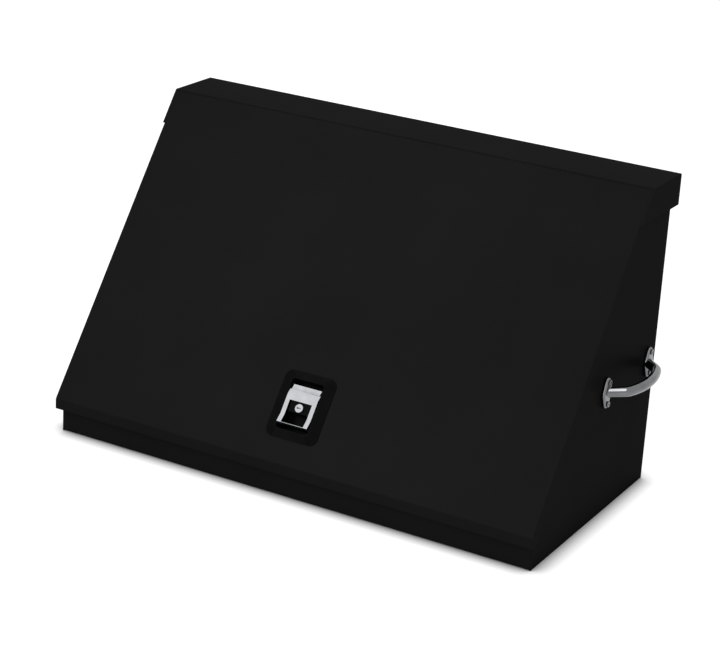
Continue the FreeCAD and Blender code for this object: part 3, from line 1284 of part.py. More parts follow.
def make_bolt():
    """Sliding bolt: plate with a ramped nose, a fork round the lock and two pin ears."""
    body = new_body("latch_bolt")
    top = "-Size.bolt_top"
    low = "-(Size.bolt_top + Size.bolt_thick)"
    profile = sketch(body, "BoltProfile", "YZ_Plane", [[
        ("Place.bolt_nose_v", top), ("Size.bolt_tail_v", top), ("Size.bolt_tail_v", low),
        ("Place.bolt_nose_v + Size.bolt_ramp", low)]])
    pad(body, profile, "Size.bolt_width", symmetric=True)
    ear = sketch(body, "BoltEar", "YZ_Plane", [rectangle(
        "Size.bolt_pin_v - Size.bolt_ear_length / 2", "Size.bolt_pin_v + Size.bolt_ear_length / 2",
        top, "-(Size.bolt_pin_w - Size.bolt_pin_diameter / 2 - Size.bolt_ear_wall)")],
        offset="Size.bolt_width / 2 - Size.bolt_ear_thick")
    mirror(body, [pad(body, ear, "Size.bolt_ear_thick")])
    stop = sketch(body, "SpringStop", "YZ_Plane", [rectangle(
        "Size.spring_stop_v", "Size.spring_stop_v + Size.spring_stop_thick", top,
        f"{top} + Size.spring_diameter")])
    pad(body, stop, "Size.spring_diameter + 2 * Size.spring_wire", symmetric=True)
    fork = sketch(body, "Fork", "XY_Plane", [rectangle(
        "-Size.bolt_fork_width / 2", "Size.bolt_fork_width / 2", "Size.bolt_fork_low",
        "Size.bolt_fork_high")], offset=top)
    pocket(body, fork, "4 * Size.bolt_thick", symmetric=True)
    pin = sketch(body, "BoltPinHole", "YZ_Plane",
                 [("Size.bolt_pin_v", "-Size.bolt_pin_w", "Size.bolt_pin_diameter")])
    pocket(body, pin, "2 * Size.bolt_width", symmetric=True)
    on_panel(body)

    body = new_body("bolt_pins")
    stub = sketch(body, "BoltPin", "YZ_Plane",
                  [("Size.bolt_pin_v", "-Size.bolt_pin_w", "Size.bolt_pin_diameter")],
                  offset="Size.bolt_width / 2 - Size.bolt_ear_thick")
    mirror(body, [pad(body, stub, "Size.cam_inner + Size.cam_thick + Size.bolt_pin_proud"
                                  " - Size.bolt_width / 2 + Size.bolt_ear_thick")])
    on_panel(body)


def make_bolt_spring():
    """Compression spring between the bolt's lug and the rear guide wall."""
    start = number("Size.spring_stop_v + Size.spring_stop_thick + Size.spring_wire / 2 + Size.spring_seat")
    end = number("Place.rear_wall_v - Size.spring_wire / 2 - Size.spring_seat")
    helix = Part.makeHelix((end - start) / number("Size.spring_turns"), end - start,
                           number("Size.spring_diameter") / 2)
    spring = document.addObject("Part::Feature", "bolt_spring")
    spring.Label = "bolt_spring"
    spring.Shape = wire_along(helix, "Size.spring_wire", "Size.spring_diameter")
    lift = number("(Size.spring_diameter + Size.spring_wire) / 2 + Size.bolt_fit - Size.bolt_top")
    local = FreeCAD.Placement(FreeCAD.Vector(0, start, lift), FreeCAD.Rotation(X_AXIS, -90))
    spring.Placement = panel_placement().multiply(local)
    PARTS.append(spring)


def make_lock():
    """Lock housing in the pocket, its nut, and the turning key cylinder with cam and screw."""
    floor = "-Size.tub_depth"
    middle = "(Size.lock_v + Size.lock_offset)"
    bore = "Size.plug_diameter + 2 * Size.plug_fit"

    body = new_body("lock_housing")
    block = sketch(body, "LockBlock", "XY_Plane", [rectangle(
        "-Size.lock_width / 2", "Size.lock_width / 2", f"{middle} - Size.lock_length / 2",
        f"{middle} + Size.lock_length / 2")], offset=floor)
    pad(body, block, "Size.tub_depth + Size.lock_face_w")
    neck = sketch(body, "LockNeck", "XY_Plane", [("0", "Size.lock_v", "Size.lock_neck")], offset=floor)
    pad(body, neck, "Size.lock_neck_end - Size.tub_depth", back=True)
    hole = sketch(body, "LockBore", "XY_Plane", [("0", "Size.lock_v", bore)])
    pocket(body, hole, "4 * Size.lock_neck_end", symmetric=True)
    on_panel(body)

    body = new_body("lock_nut")
    nut = sketch(body, "LockNut", "XY_Plane",
                 [hexagon("0", "Size.lock_v", "Size.lock_nut_width"), ("0", "Size.lock_v", "Size.lock_neck")],
                 offset="-(Size.tub_depth + Size.tub_wall)")
    pad(body, nut, "Size.lock_nut_height", back=True)
    on_panel(body)

    cam_top = "-(Size.lock_neck_end + Size.bolt_fit)"
    body = new_body("lock_plug")
    barrel = sketch(body, "PlugBarrel", "XY_Plane", [("0", "Size.lock_v", "Size.plug_diameter")],
                    offset=cam_top)
    pad(body, barrel, "Size.lock_neck_end + Size.bolt_fit + Size.lock_face_w + Size.bolt_fit")
    face = sketch(body, "PlugFace", "XY_Plane", [("0", "Size.lock_v", "Size.plug_face")],
                  offset="Size.lock_face_w + Size.bolt_fit")
    pad(body, face, "Size.plug_face_w - Size.lock_face_w - Size.bolt_fit")
    key = sketch(body, "KeySlot", "XY_Plane", [rectangle(
        "-Size.key_slot_length / 2", "Size.key_slot_length / 2",
        "Size.lock_v - Size.key_slot_width / 2", "Size.lock_v + Size.key_slot_width / 2")],
        offset="Size.plug_face_w")
    pocket(body, key, "Size.key_slot_depth")
    on_panel(body)

    body = new_body("lock_cam")
    lever = sketch(body, "LockLever", "XY_Plane", [rectangle(
        "-Size.cam_lever_width / 2", "Size.cam_lever_length", "Size.lock_v - Size.cam_lever_width / 2",
        "Size.lock_v + Size.cam_lever_width / 2")], offset=cam_top)
    pad(body, lever, "Size.cam_lever_thick", back=True)
    on_panel(body)

    body = new_body("lock_cam_screw")
    head = sketch(body, "CamScrew", "XY_Plane", [("0", "Size.lock_v", "Size.cam_screw_head")],
                  offset=f"{cam_top} - Size.cam_lever_thick")
    pad(body, head, "Size.cam_screw_height", back=True)
    on_panel(body)


def make_striker():
    """Hooked striker under the front rim flange, and its two rivets."""
    body = new_body("striker")
    top = "-(Place.rim_drop + Size.sheet)"
    start = "Place.rim_start_v + Size.striker_setback"
    edge = "Place.rim_start_v + Size.rim_flange"
    thick = "Size.striker_thick"
    lip = "-Size.striker_lip_w"
    profile = sketch(body, "StrikerProfile", "YZ_Plane", [[
        (start, top), (edge, top), (edge, lip), ("Place.striker_end_v", lip),
        ("Place.striker_end_v", f"{lip} - {thick}"), (f"{edge} - {thick}", f"{lip} - {thick}"),
        (f"{edge} - {thick}", f"{top} - {thick}"), (start, f"{top} - {thick}")]])
    pad(body, profile, "Size.striker_width", symmetric=True)
    on_panel(body)
    body = new_body("striker_rivets")
    head = sketch(body, "StrikerRivet", "XY_Plane", [(
        f"{side} * Size.striker_rivet_spread / 2", "Place.rim_start_v + Size.rim_flange / 2",
        "Size.rivet_head") for side in (-1, 1)], offset=f"{top} - {thick}")
    pad(body, head, "Size.rivet_head_height", back=True)
    on_panel(body)


# ---------------------------------------------------------------- side handles
def make_handles():
    """Bow handles: two lozenge feet, slanted legs, elbows and a bowed grip, welded into one bar."""
    bar = "Size.handle_bar / 2"
    grip = ring_part("grip", "Size.grip_radius", "2 * Place.bow_turn", "Place.bow_x", "Size.handle_y",
                     "Place.bow_turn", back=True)
    elbows = [ring_part("elbow_near", "Size.handle_bend", "Place.elbow_start - Place.bow_turn",
                        "Place.elbow_x", "Size.handle_y - Place.elbow_y", "Place.elbow_start", back=True),
              ring_part("elbow_far", "Size.handle_bend", "Place.elbow_start - Place.bow_turn",
                        "Place.elbow_x", "Size.handle_y + Place.elbow_y", "Place.bow_turn")]
    legs = []
    feet = []
    lean = math.radians(number("Size.handle_lean"))
    behind = f"({bar} * tan(Size.handle_lean) + {PAST})"
    for end, sign in (("near", -1), ("far", 1)):
        y = f"Size.handle_y + {sign} * Size.handle_span / 2"
        legs.append(cylinder_part(f"leg_{end}", bar, f"Place.leg_length + {behind}",
                                  f"Place.case_half - {behind} * cos(Size.handle_lean)",
                                  f"{y} + {sign} * {behind} * sin(Size.handle_lean)", "Size.handle_z",
                                  FreeCAD.Vector(math.cos(lean), -sign * math.sin(lean), 0)))
        feet.append(make_foot(f"foot_{end}", y))
    wall = document.addObject("Part::Box", "wall")
    bind(wall, Length="2 * Size.handle_bar", Width="2 * Size.handle_span", Height="2 * Size.handle_bar",
         Placement__Base__x="Place.case_half - 2 * Size.handle_bar",
         Placement__Base__y="Size.handle_y - Size.handle_span",
         Placement__Base__z="Size.handle_z - Size.handle_bar")
    bow = document.addObject("Part::Cut", "bow")
    bow.Base = fuse("bow_blank", [grip, *elbows, *legs])
    bow.Tool = wall
    handle = fuse("handle_right", [bow, *feet])
    twin = document.addObject("Part::Mirroring", "handle_left")
    twin.Source = handle
    twin.Normal = X_AXIS
    PARTS.extend([twin, handle])


def ring_part(name, radius, sweep, x, y, turn_by, back=False):
    """An arc of handle bar round an upright axis; back turns its start clockwise, seen from above."""
    ring = document.addObject("Part::Torus", name)
    bind(ring, Radius1=radius, Radius2="Size.handle_bar / 2", Angle3=sweep)
    place(ring, x=x, y=y, z="Size.handle_z", angle=turn_by, axis=-Z_AXIS if back else Z_AXIS)
    return ring


def make_foot(name, y):
    """Lozenge foot with rounded rim and two screw holes."""
    body = new_body(name, keep=False)
    middle = "Size.foot_width / 2"
    tip = "Size.foot_tip / 2"
    wide = [(f"{y} + {side} * {middle} * cos(Place.foot_taper)",
             f"Size.handle_z + {end} * {middle} * sin(Place.foot_taper)")
            for side, end in ((1, -1), (1, 1), (-1, 1), (-1, -1))]
    narrow = [(f"{y} + {side} * {tip} * cos(Place.foot_taper)",
               f"Size.handle_z + {end} * (Place.foot_rise + {tip} * sin(Place.foot_taper))")
              for side, end in ((1, 1), (-1, 1), (-1, -1), (1, -1))]
    corners = [wide[0], wide[1], narrow[0], narrow[1], wide[2], wide[3], narrow[2], narrow[3]]
    rounds = [(y, "Size.handle_z", "Size.foot_width")]
    rounds += [(y, f"Size.handle_z + {end} * Place.foot_rise", "Size.foot_tip") for end in (-1, 1)]
    for part, loop in enumerate([corners, *rounds]):
        piece = sketch(body, f"Lozenge{part}{name}", "YZ_Plane", [loop], offset="Place.case_half")
        pad(body, piece, "Size.foot_thick")
    outer_x = number("Place.foot_x")

    def on_rim(edge):
        return all(abs(corner.X - outer_x) < TOUCH for corner in edge.Vertexes)
    round_edges(body, f"Rim{name}", "Size.foot_round", on_rim)
    holes = sketch(body, f"ScrewHoles{name}", "YZ_Plane", [
        (y, f"Size.handle_z + {end} * Size.foot_screw_rise", "Size.screw_shank + 2 * Size.screw_clearance")
        for end in (-1, 1)], offset="Place.case_half")
    pocket(body, holes, "4 * Size.foot_thick", symmetric=True)
    return body


def make_handle_fasteners():
    """Pan-head screws through the feet and the nuts inside the case."""
    y = "Size.handle_y - Size.handle_span / 2"
    z = "Size.handle_z - Size.foot_screw_rise"
    rows = [("Y_Axis", "Size.handle_span", "2"), ("Z_Axis", "2 * Size.foot_screw_rise", "2")]
    body = new_body("handle_screws")
    shank = sketch(body, "ScrewShank", "YZ_Plane", [(y, z, "Size.screw_shank")],
                   offset="Place.case_half - Size.screw_tail")
    shank_feature = pad(body, shank, "Size.screw_tail + Size.foot_thick")
    head = sketch(body, "ScrewHead", "YZ_Plane", [(y, z, "Size.screw_head")], offset="Place.foot_x")
    head_feature = pad(body, head, "Size.screw_head_height")
    pattern = repeat(body, shank_feature, rows, mirrors=["YZ_Plane"])
    pattern.Originals = [shank_feature, head_feature]
    document.recompute()
    body = new_body("handle_nuts")
    nut = sketch(body, "HandleNut", "YZ_Plane",
                 [hexagon(y, z, "Size.handle_nut_width"), (y, z, "Size.screw_shank")],
                 offset="Place.inner_half - Size.handle_nut_height")
    repeat(body, pad(body, nut, "Size.handle_nut_height"), rows, mirrors=["YZ_Plane"])


# ---------------------------------------------------------------- build
make_case_wrapper()
for side_name, side_sign in SIDES:
    make_side_panel(f"side_panel_{side_name}", side_sign)
make_rim_seal()
make_stand()
make_stand_rivets()
TRAYS = (("front", "Place.first_riser - Place.tray_depth", "Size.sheet"),
         ("middle", "Place.second_riser - Place.tray_depth", "Size.first_tread"),
         ("rear", "Place.second_riser + Size.stand_sheet", "Size.second_tread"))
for tray_name, tray_front, tray_base in TRAYS:
    make_tray(f"tray_{tray_name}", tray_front, tray_base)
    make_foam(f"foam_{tray_name}", tray_front, tray_base)
make_striker()
make_hinge_leaf("hinge_leaf_case", on_lid=False)
make_hinge_leaf("hinge_leaf_lid", on_lid=True)
make_hinge_pin()
make_hinge_rivets()
make_lid_panel()
make_lid_cap()
for side_name, side_sign in SIDES:
    make_stiffener(f"lid_stiffener_{side_name}", side_sign)
    make_strut(side_name, side_sign)
    make_case_bracket(f"strut_bracket_case_{side_name}", side_sign)
    make_lid_bracket(f"strut_bracket_lid_{side_name}", side_sign)
make_handles()
make_ball_studs("ball_studs_case", "Place.case_stud_y", "Place.case_stud_z")
make_ball_studs("ball_studs_lid", "Place.lid_stud_y", "Place.lid_stud_z")
make_handle_fasteners()
make_latch_gasket()
make_latch_dish()
make_latch_frame()
make_latch_nuts()
make_pivot_pin()
make_paddle()
make_paddle_spring()
make_bolt()
make_bolt_spring()
make_lock()

document.recompute()
for item in document.Objects:
    if any(word in item.State for word in ("Invalid", "Error")):
        raise RuntimeError(f"{item.Label} failed: {item.State}")
for item in PARTS:
    if item.Shape.isNull() or not item.Shape.isValid():
        raise RuntimeError(f"{item.Label} has no valid shape")

os.makedirs("parts", exist_ok=True)
for item in PARTS:
    item.Shape.exportStep(f"parts/{item.Label}.step")
print(len(PARTS), "sub-parts written")
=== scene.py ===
"""Finishes, soft liners, rounded hardware, studio and camera for the wedge-shaped steel tool chest."""
import json
import math

import bpy
from mathutils import Matrix, Vector


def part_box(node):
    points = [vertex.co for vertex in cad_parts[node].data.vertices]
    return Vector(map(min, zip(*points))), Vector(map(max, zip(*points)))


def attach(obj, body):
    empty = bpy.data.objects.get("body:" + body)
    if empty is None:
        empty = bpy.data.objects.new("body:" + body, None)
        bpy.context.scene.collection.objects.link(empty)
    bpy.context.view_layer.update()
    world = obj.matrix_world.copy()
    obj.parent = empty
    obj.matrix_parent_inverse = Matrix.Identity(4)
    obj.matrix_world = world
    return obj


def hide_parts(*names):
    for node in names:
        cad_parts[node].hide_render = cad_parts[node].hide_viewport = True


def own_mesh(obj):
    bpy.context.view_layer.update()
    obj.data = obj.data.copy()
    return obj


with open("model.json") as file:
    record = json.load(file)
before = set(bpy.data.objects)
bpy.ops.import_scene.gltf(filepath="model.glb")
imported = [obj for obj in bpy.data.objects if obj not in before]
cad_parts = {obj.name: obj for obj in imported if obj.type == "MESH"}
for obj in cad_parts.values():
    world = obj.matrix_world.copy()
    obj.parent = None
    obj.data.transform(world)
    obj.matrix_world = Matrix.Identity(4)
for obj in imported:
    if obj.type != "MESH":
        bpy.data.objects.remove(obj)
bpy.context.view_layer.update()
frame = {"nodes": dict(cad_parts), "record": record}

MM = 0.001
WHITE = "#ffffff"
# The range that most of a noise pattern lies in
NOISE_LOW = 0.3
NOISE_HIGH = 0.7


# ---------------------------------------------------------------- colours and nodes
def linear(code, alpha=1.0):
    """An sRGB hex colour as linear red, green, blue and alpha."""
    values = [int(code[start:start + 2], 16) / 255 for start in (1, 3, 5)]
    return [v / 12.92 if v <= 0.04045 else ((v + 0.055) / 1.055) ** 2.4 for v in values] + [alpha]


def add_node(tree, kind, settings=None, **links):
    """Add a node, set its properties and sockets, and link its inputs to other nodes' outputs."""
    node = tree.nodes.new(kind)
    for name, value in (settings or {}).items():
        if name in node.inputs:
            node.inputs[name].default_value = value
        else:
            setattr(node, name, value)
    for name, source in links.items():
        tree.links.new(source, node.inputs[name.replace("_", " ")])
    return node


def new_material(name, **shader):
    """A material with its shader's own sockets set; gives the material, its tree and the shader."""
    material = bpy.data.materials.new(name)
    material.use_nodes = True
    tree = material.node_tree
    surface = tree.nodes["Principled BSDF"]
    for socket, value in shader.items():
        surface.inputs[socket.replace("_", " ")].default_value = value
    return material, tree, surface


def object_place(tree):
    return tree.nodes.new("ShaderNodeTexCoord").outputs["Object"]


def grain(tree, place, size_mm, detail=2.0):
    """Noise whose patches are about size_mm across."""
    noise = add_node(tree, "ShaderNodeTexNoise",
                     {"Scale": 1 / (size_mm * MM), "Detail": detail}, Vector=place)
    return noise.outputs["Fac"]


def shade_between(tree, factor, dark, light, low=NOISE_LOW, high=NOISE_HIGH):
    """Colour that goes from dark to light as the factor goes from low to high."""
    ramp = add_node(tree, "ShaderNodeValToRGB", Fac=factor)
    ramp.color_ramp.elements[0].position = low
    ramp.color_ramp.elements[0].color = linear(dark)
    ramp.color_ramp.elements[1].position = high
    ramp.color_ramp.elements[1].color = linear(light)
    return ramp.outputs["Color"]


def spread(tree, factor, low, high):
    """A number from low to high as the factor goes over a noise's usual range."""
    mapped = add_node(tree, "ShaderNodeMapRange",
                      {"From Min": NOISE_LOW, "From Max": NOISE_HIGH, "To Min": low, "To Max": high},
                      Value=factor)
    return mapped.outputs["Result"]


def raise_by(tree, surface, height, depth_mm, strength=1.0):
    """Bump the surface and its coat by a height pattern that is depth_mm deep."""
    bump = add_node(tree, "ShaderNodeBump", {"Distance": depth_mm * MM, "Strength": strength},
                    Height=height)
    tree.links.new(bump.outputs["Normal"], surface.inputs["Normal"])
    tree.links.new(bump.outputs["Normal"], surface.inputs["Coat Normal"])


# ---------------------------------------------------------------- materials
def polyester_powder_coat():
    """Black polyester powder coat, baked on: satin, with the faint orange peel of melted powder."""
    material, tree, surface = new_material("polyester_powder_coat", Specular_IOR_Level=0.0,
                                           Coat_Weight=0.03, Coat_Roughness=0.34, Coat_IOR=1.5)
    place = object_place(tree)
    cloud = grain(tree, place, 160)
    tree.links.new(shade_between(tree, cloud, "#1b1b1c", "#1e1e1f"), surface.inputs["Base Color"])
    raise_by(tree, surface, grain(tree, place, 2.2), 0.02, 0.5)
    return material


def inner_enamel():
    """Black stoving enamel on the inner sheet work: thin, flat and a little dusty."""
    material, tree, surface = new_material("inner_enamel", IOR=1.5, Specular_IOR_Level=0.2)
    place = object_place(tree)
    tree.links.new(shade_between(tree, grain(tree, place, 70), "#202021", "#262627"),
                   surface.inputs["Base Color"])
    tree.links.new(spread(tree, grain(tree, place, 25), 0.5, 0.62), surface.inputs["Roughness"])
    raise_by(tree, surface, grain(tree, place, 1.2), 0.01, 0.5)
    return material


def epdm_rubber():
    """Extruded EPDM seal: matte black with a fine drag grain."""
    material, tree, surface = new_material("epdm_rubber", IOR=1.52, Specular_IOR_Level=0.25)
    place = object_place(tree)
    tree.links.new(shade_between(tree, grain(tree, place, 12), "#141414", "#1a1a1a"),
                   surface.inputs["Base Color"])
    tree.links.new(spread(tree, grain(tree, place, 6), 0.7, 0.82), surface.inputs["Roughness"])
    raise_by(tree, surface, grain(tree, place, 0.8), 0.03)
    return material


def closed_cell_foam():
    """Cross-linked polyethylene foam sheet: charcoal, matte, with visible cut cells."""
    material, tree, surface = new_material("closed_cell_foam", IOR=1.45, Specular_IOR_Level=0.1,
                                           Roughness=0.92)
    place = object_place(tree)
    cells = add_node(tree, "ShaderNodeTexVoronoi", {"Scale": 1 / (1.6 * MM)}, Vector=place)
    distance = cells.outputs["Distance"]
    tree.links.new(shade_between(tree, distance, "#3c3d40", "#2a2b2d", 0.1, 0.8),
                   surface.inputs["Base Color"])
    raise_by(tree, surface, distance, 0.25)
    return material


def bright_zinc():
    """Bright zinc plate on pressed steel: silvery blue, slightly mottled, hardly polished."""
    material, tree, surface = new_material("bright_zinc", Metallic=1.0)
    place = object_place(tree)
    tree.links.new(shade_between(tree, grain(tree, place, 9), "#b4b8bd", "#c9ccd0"),
                   surface.inputs["Base Color"])
    tree.links.new(spread(tree, grain(tree, place, 5), 0.26, 0.4), surface.inputs["Roughness"])
    raise_by(tree, surface, grain(tree, place, 1.5), 0.01, 0.6)
    return material


def oiled_spring_wire():
    """Oiled music wire: dark grey metal with a wet shine."""
    material, tree, surface = new_material("oiled_spring_wire", Metallic=1.0)
    place = object_place(tree)
    tree.links.new(shade_between(tree, grain(tree, place, 3), "#6c6b6a", "#807f7d"),
                   surface.inputs["Base Color"])
    tree.links.new(spread(tree, grain(tree, place, 2), 0.22, 0.34), surface.inputs["Roughness"])
    return material


def blacked_hinge():
    """Black-coated continuous hinge: a thinner coat than the sheet work, brighter on its barrels."""
    material, tree, surface = new_material("blacked_hinge", IOR=1.5, Specular_IOR_Level=0.3)
    place = object_place(tree)
    tree.links.new(shade_between(tree, grain(tree, place, 14), "#18181a", "#202022"),
                   surface.inputs["Base Color"])
    tree.links.new(spread(tree, grain(tree, place, 8), 0.34, 0.46), surface.inputs["Roughness"])
    raise_by(tree, surface, grain(tree, place, 1.4), 0.01, 0.5)
    return material


def chrome_with_painted_shade():
    """Decorative chrome over nickel: mirror-smooth, with the slightest ripple of the casting below; its
    colour is darkened as painted shade.
    """
    material, tree, surface = new_material("chrome_with_painted_shade", Metallic=1.0)
    place = object_place(tree)
    # Painted shade: the base colour is kept a dark grey so that the white surroundings reflect as mid
    # grey, as dim surroundings would.
    tree.links.new(shade_between(tree, grain(tree, place, 18), "#6d6e70", "#757678"),
                   surface.inputs["Base Color"])
    tree.links.new(spread(tree, grain(tree, place, 7), 0.05, 0.09), surface.inputs["Roughness"])
    raise_by(tree, surface, grain(tree, place, 9), 0.03, 0.4)
    return material


def bezel_black():
    """Black-painted zinc die-casting: deeper and smoother than the powder coat round it."""
    material, tree, surface = new_material("bezel_black", Specular_IOR_Level=0.0,
                                           Coat_Weight=0.02, Coat_Roughness=0.28, Coat_IOR=1.5)
    place = object_place(tree)
    tree.links.new(shade_between(tree, grain(tree, place, 20), "#101010", "#141414"),
                   surface.inputs["Base Color"])
    raise_by(tree, surface, grain(tree, place, 1.6), 0.008, 0.5)
    return material


def gloss_cylinder_paint():
    """Gloss black paint on a gas strut's tube."""
    material, tree, surface = new_material("gloss_cylinder_paint", IOR=1.5, Specular_IOR_Level=0.5)
    place = object_place(tree)
    tree.links.new(shade_between(tree, grain(tree, place, 15), "#101011", "#151516"),
                   surface.inputs["Base Color"])
    tree.links.new(spread(tree, grain(tree, place, 6), 0.16, 0.24), surface.inputs["Roughness"])
    return material


def hard_chrome_rod():
    """Ground and hard-chromed rod: bright, with fine grinding lines round it."""
    material, tree, surface = new_material("hard_chrome_rod", Metallic=1.0)
    place = object_place(tree)
    tree.links.new(shade_between(tree, grain(tree, place, 4), "#c4c6c9", "#d2d4d7"),
                   surface.inputs["Base Color"])
    tree.links.new(spread(tree, grain(tree, place, 1.5), 0.1, 0.17), surface.inputs["Roughness"])
    return material


def black_nylon():
    """Glass-filled nylon socket: matte moulded black with a faint flow mottle."""
    material, tree, surface = new_material("black_nylon", IOR=1.53, Specular_IOR_Level=0.35)
    place = object_place(tree)
    tree.links.new(shade_between(tree, grain(tree, place, 6), "#1a1a1b", "#222223"),
                   surface.inputs["Base Color"])
    tree.links.new(spread(tree, grain(tree, place, 3), 0.5, 0.62), surface.inputs["Roughness"])
    raise_by(tree, surface, grain(tree, place, 0.9), 0.01)
    return material


FINISHES = {
    "powder_coat": polyester_powder_coat(),
    "inner_paint": inner_enamel(),
    "rubber": epdm_rubber(),
    "foam": closed_cell_foam(),
    "zinc_steel": bright_zinc(),
    "spring_steel": oiled_spring_wire(),
    "hinge_black": blacked_hinge(),
    "chrome": chrome_with_painted_shade(),
    "latch_black": bezel_black(),
    "strut_black": gloss_cylinder_paint(),
    "strut_rod": hard_chrome_rod(),
    "socket_plastic": black_nylon(),
}
SLOT_OF = {part["node"]: part["material_slot"] for part in frame["record"]["subparts"]}
BODY_OF = {node: body for body, nodes in frame["record"]["behaviour"]["bodies"].items() for node in nodes}


def dress(piece, slot):
    piece.data.materials.clear()
    piece.data.materials.append(FINISHES[slot])


for node_name, node in frame["nodes"].items():
    dress(node, SLOT_OF[node_name])


# ---------------------------------------------------------------- worked edges
MERGE = 0.001 * MM
FLAT_WITHIN = 0.5  # degrees
SHARP = 35  # degrees
WELD_FILLET = 2.2 * MM
WELD_SEGMENTS = 4
FACE_WEIGHT = 100

# Rounding of edges, in mm
SHEET_EDGE = 0.4
TRAY_EDGE = 0.5
HANDLE_EDGE = 0.5
LATCH_EDGE = 0.7
LOCK_EDGE = 0.8
PLUG_EDGE = 0.5
NUT_EDGE = 0.5
HEAD_EDGE = 1.1
SEAL_EDGE = 3

# Where the handles' bars meet their feet
HEAD_HEIGHT = 2.2 * MM
ON_FACE = 0.02 * MM
HANDLE_Z = 186 * MM
BAR_REACH = 11 * MM
FOOT_Y = (11.5, 152.5)  # mm

# Slots: places and sizes in mm, and the slanted panel's turn in degrees
SLOPE = 54
KEY_FACE = (0, -148.35, 120.28)
KEY_MOUTH = (6.6, 2.2, 3)
HEAD_FACE = 381.8
SCREW_Z = (170.5, 201.5)
RECESS_DEPTH = 2.6
RECESS_LENGTH = 4.6
RECESS_WIDTH = 1.1


def pick(piece):
    """Make one piece the only selected object."""
    bpy.ops.object.select_all(action="DESELECT")
    piece.select_set(True)
    bpy.context.view_layer.objects.active = piece


def choose(piece, wanted):
    """In edit mode, select only the faces or edges that wanted picks from the mesh."""
    bpy.ops.mesh.select_all(action="DESELECT")
    bpy.ops.object.mode_set(mode="OBJECT")
    for part in wanted(piece.data):
        part.select = True
    bpy.ops.object.mode_set(mode="EDIT")


def merged_copy(name):
    """Copy a node's loose triangles into a new piece and merge their points, still in edit mode."""
    node = frame["nodes"][name]
    piece = node.copy()
    piece.data = node.data.copy()
    piece.name = f"{name}_worked"
    bpy.context.scene.collection.objects.link(piece)
    pick(piece)
    bpy.ops.mesh.customdata_custom_splitnormals_clear()
    bpy.ops.object.mode_set(mode="EDIT")
    bpy.ops.mesh.select_all(action="SELECT")
    bpy.ops.mesh.remove_doubles(threshold=MERGE)
    return piece


def work_edges(name, width_mm, segments=2, welded=None):
    """Stand a merged copy in for a node, with every edge sharper than SHARP rounded.

    The edges that welded picks get a wider fillet first.
    """
    piece = merged_copy(name)
    bpy.ops.mesh.dissolve_limited(angle_limit=math.radians(FLAT_WITHIN))
    bpy.ops.mesh.normals_make_consistent(inside=False)
    if welded:
        bpy.ops.mesh.select_mode(type="EDGE")
        choose(piece, welded)
        bpy.ops.mesh.bevel(offset=WELD_FILLET, segments=WELD_SEGMENTS, clamp_overlap=True)
    bpy.ops.object.mode_set(mode="OBJECT")
    bpy.ops.object.shade_smooth_by_angle(angle=math.radians(SHARP))
    edge = piece.modifiers.new("edge", "BEVEL")
    edge.width = width_mm * MM
    edge.segments = segments
    edge.limit_method = "ANGLE"
    edge.angle_limit = math.radians(SHARP)
    edge.harden_normals = not welded
    bpy.ops.object.modifier_apply(modifier="edge")
    if welded:
        piece.modifiers.new("true_faces", "WEIGHTED_NORMAL").weight = FACE_WEIGHT
        bpy.ops.object.modifier_apply(modifier="true_faces")
    stand_in(piece, name)
    return piece


def cut_slots(piece, slots):
    """Cut boxes out of a piece; each is a centre and a size in mm and a turn about X in degrees."""
    tools = []
    for centre, size, turn in slots:
        bpy.ops.mesh.primitive_cube_add(size=1, location=Vector(centre) * MM,
                                        rotation=(math.radians(turn), 0, 0))
        tools.append(bpy.context.object)
        tools[-1].scale = Vector(size) * MM
    pick(tools[0])
    for tool in tools:
        tool.select_set(True)
    if len(tools) > 1:
        bpy.ops.object.join()
    cutter = bpy.context.object
    pick(piece)
    slot = piece.modifiers.new("slot", "BOOLEAN")
    slot.object = cutter
    slot.solver = "EXACT"
    slot.use_self = True
    bpy.ops.object.modifier_apply(modifier="slot")
    bpy.data.objects.remove(cutter)


def stand_in(piece, name):
    """Give a finished piece the finish and the body of the node that it replaces."""
    dress(piece, SLOT_OF[name])
    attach(piece, BODY_OF[name])
    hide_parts(name)


def bar_meets_foot(mesh):
    """Edges where a handle's bar rises from the outer face of a foot."""
    points = mesh.vertices
    face_x = abs(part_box("handle_screws")[1][0]) - HEAD_HEIGHT
    middles = [(foot_y * MM, HANDLE_Z) for foot_y in FOOT_Y]
    found = []
    for edge in mesh.edges:
        ends = [points[index].co for index in edge.vertices]
        on_face = all(abs(abs(end.x) - face_x) < ON_FACE for end in ends)
        by_bar = any(all(math.dist((end.y, end.z), middle) < BAR_REACH for end in ends)
                     for middle in middles)
        if on_face and by_bar:
            found.append(edge)
    return found


SHEET_WORK = ["lid_panel", "lid_cap", "case_wrapper", "side_panel_left", "side_panel_right", "tray_stand",
              "lid_stiffener_left", "lid_stiffener_right"]
for node_name in SHEET_WORK:
    work_edges(node_name, SHEET_EDGE)
for node_name in ("tray_front", "tray_middle", "tray_rear"):
    work_edges(node_name, TRAY_EDGE, segments=3)
for side in ("left", "right"):
    work_edges(f"handle_{side}", HANDLE_EDGE, segments=3, welded=bar_meets_foot)
    work_edges(f"strut_bracket_case_{side}", SHEET_EDGE)
    work_edges(f"strut_bracket_lid_{side}", SHEET_EDGE)
work_edges("latch_dish", LATCH_EDGE, segments=3)
work_edges("latch_paddle", LATCH_EDGE, segments=3)
work_edges("lock_housing", LOCK_EDGE, segments=3)
plug = work_edges("lock_plug", PLUG_EDGE, segments=3)
cut_slots(plug, [(KEY_FACE, KEY_MOUTH, SLOPE)])
work_edges("latch_frame", SHEET_EDGE)
work_edges("latch_bolt", SHEET_EDGE)
work_edges("striker", SHEET_EDGE)
work_edges("rim_seal", SEAL_EDGE, segments=4)
screws = work_edges("handle_screws", HEAD_EDGE, segments=4)
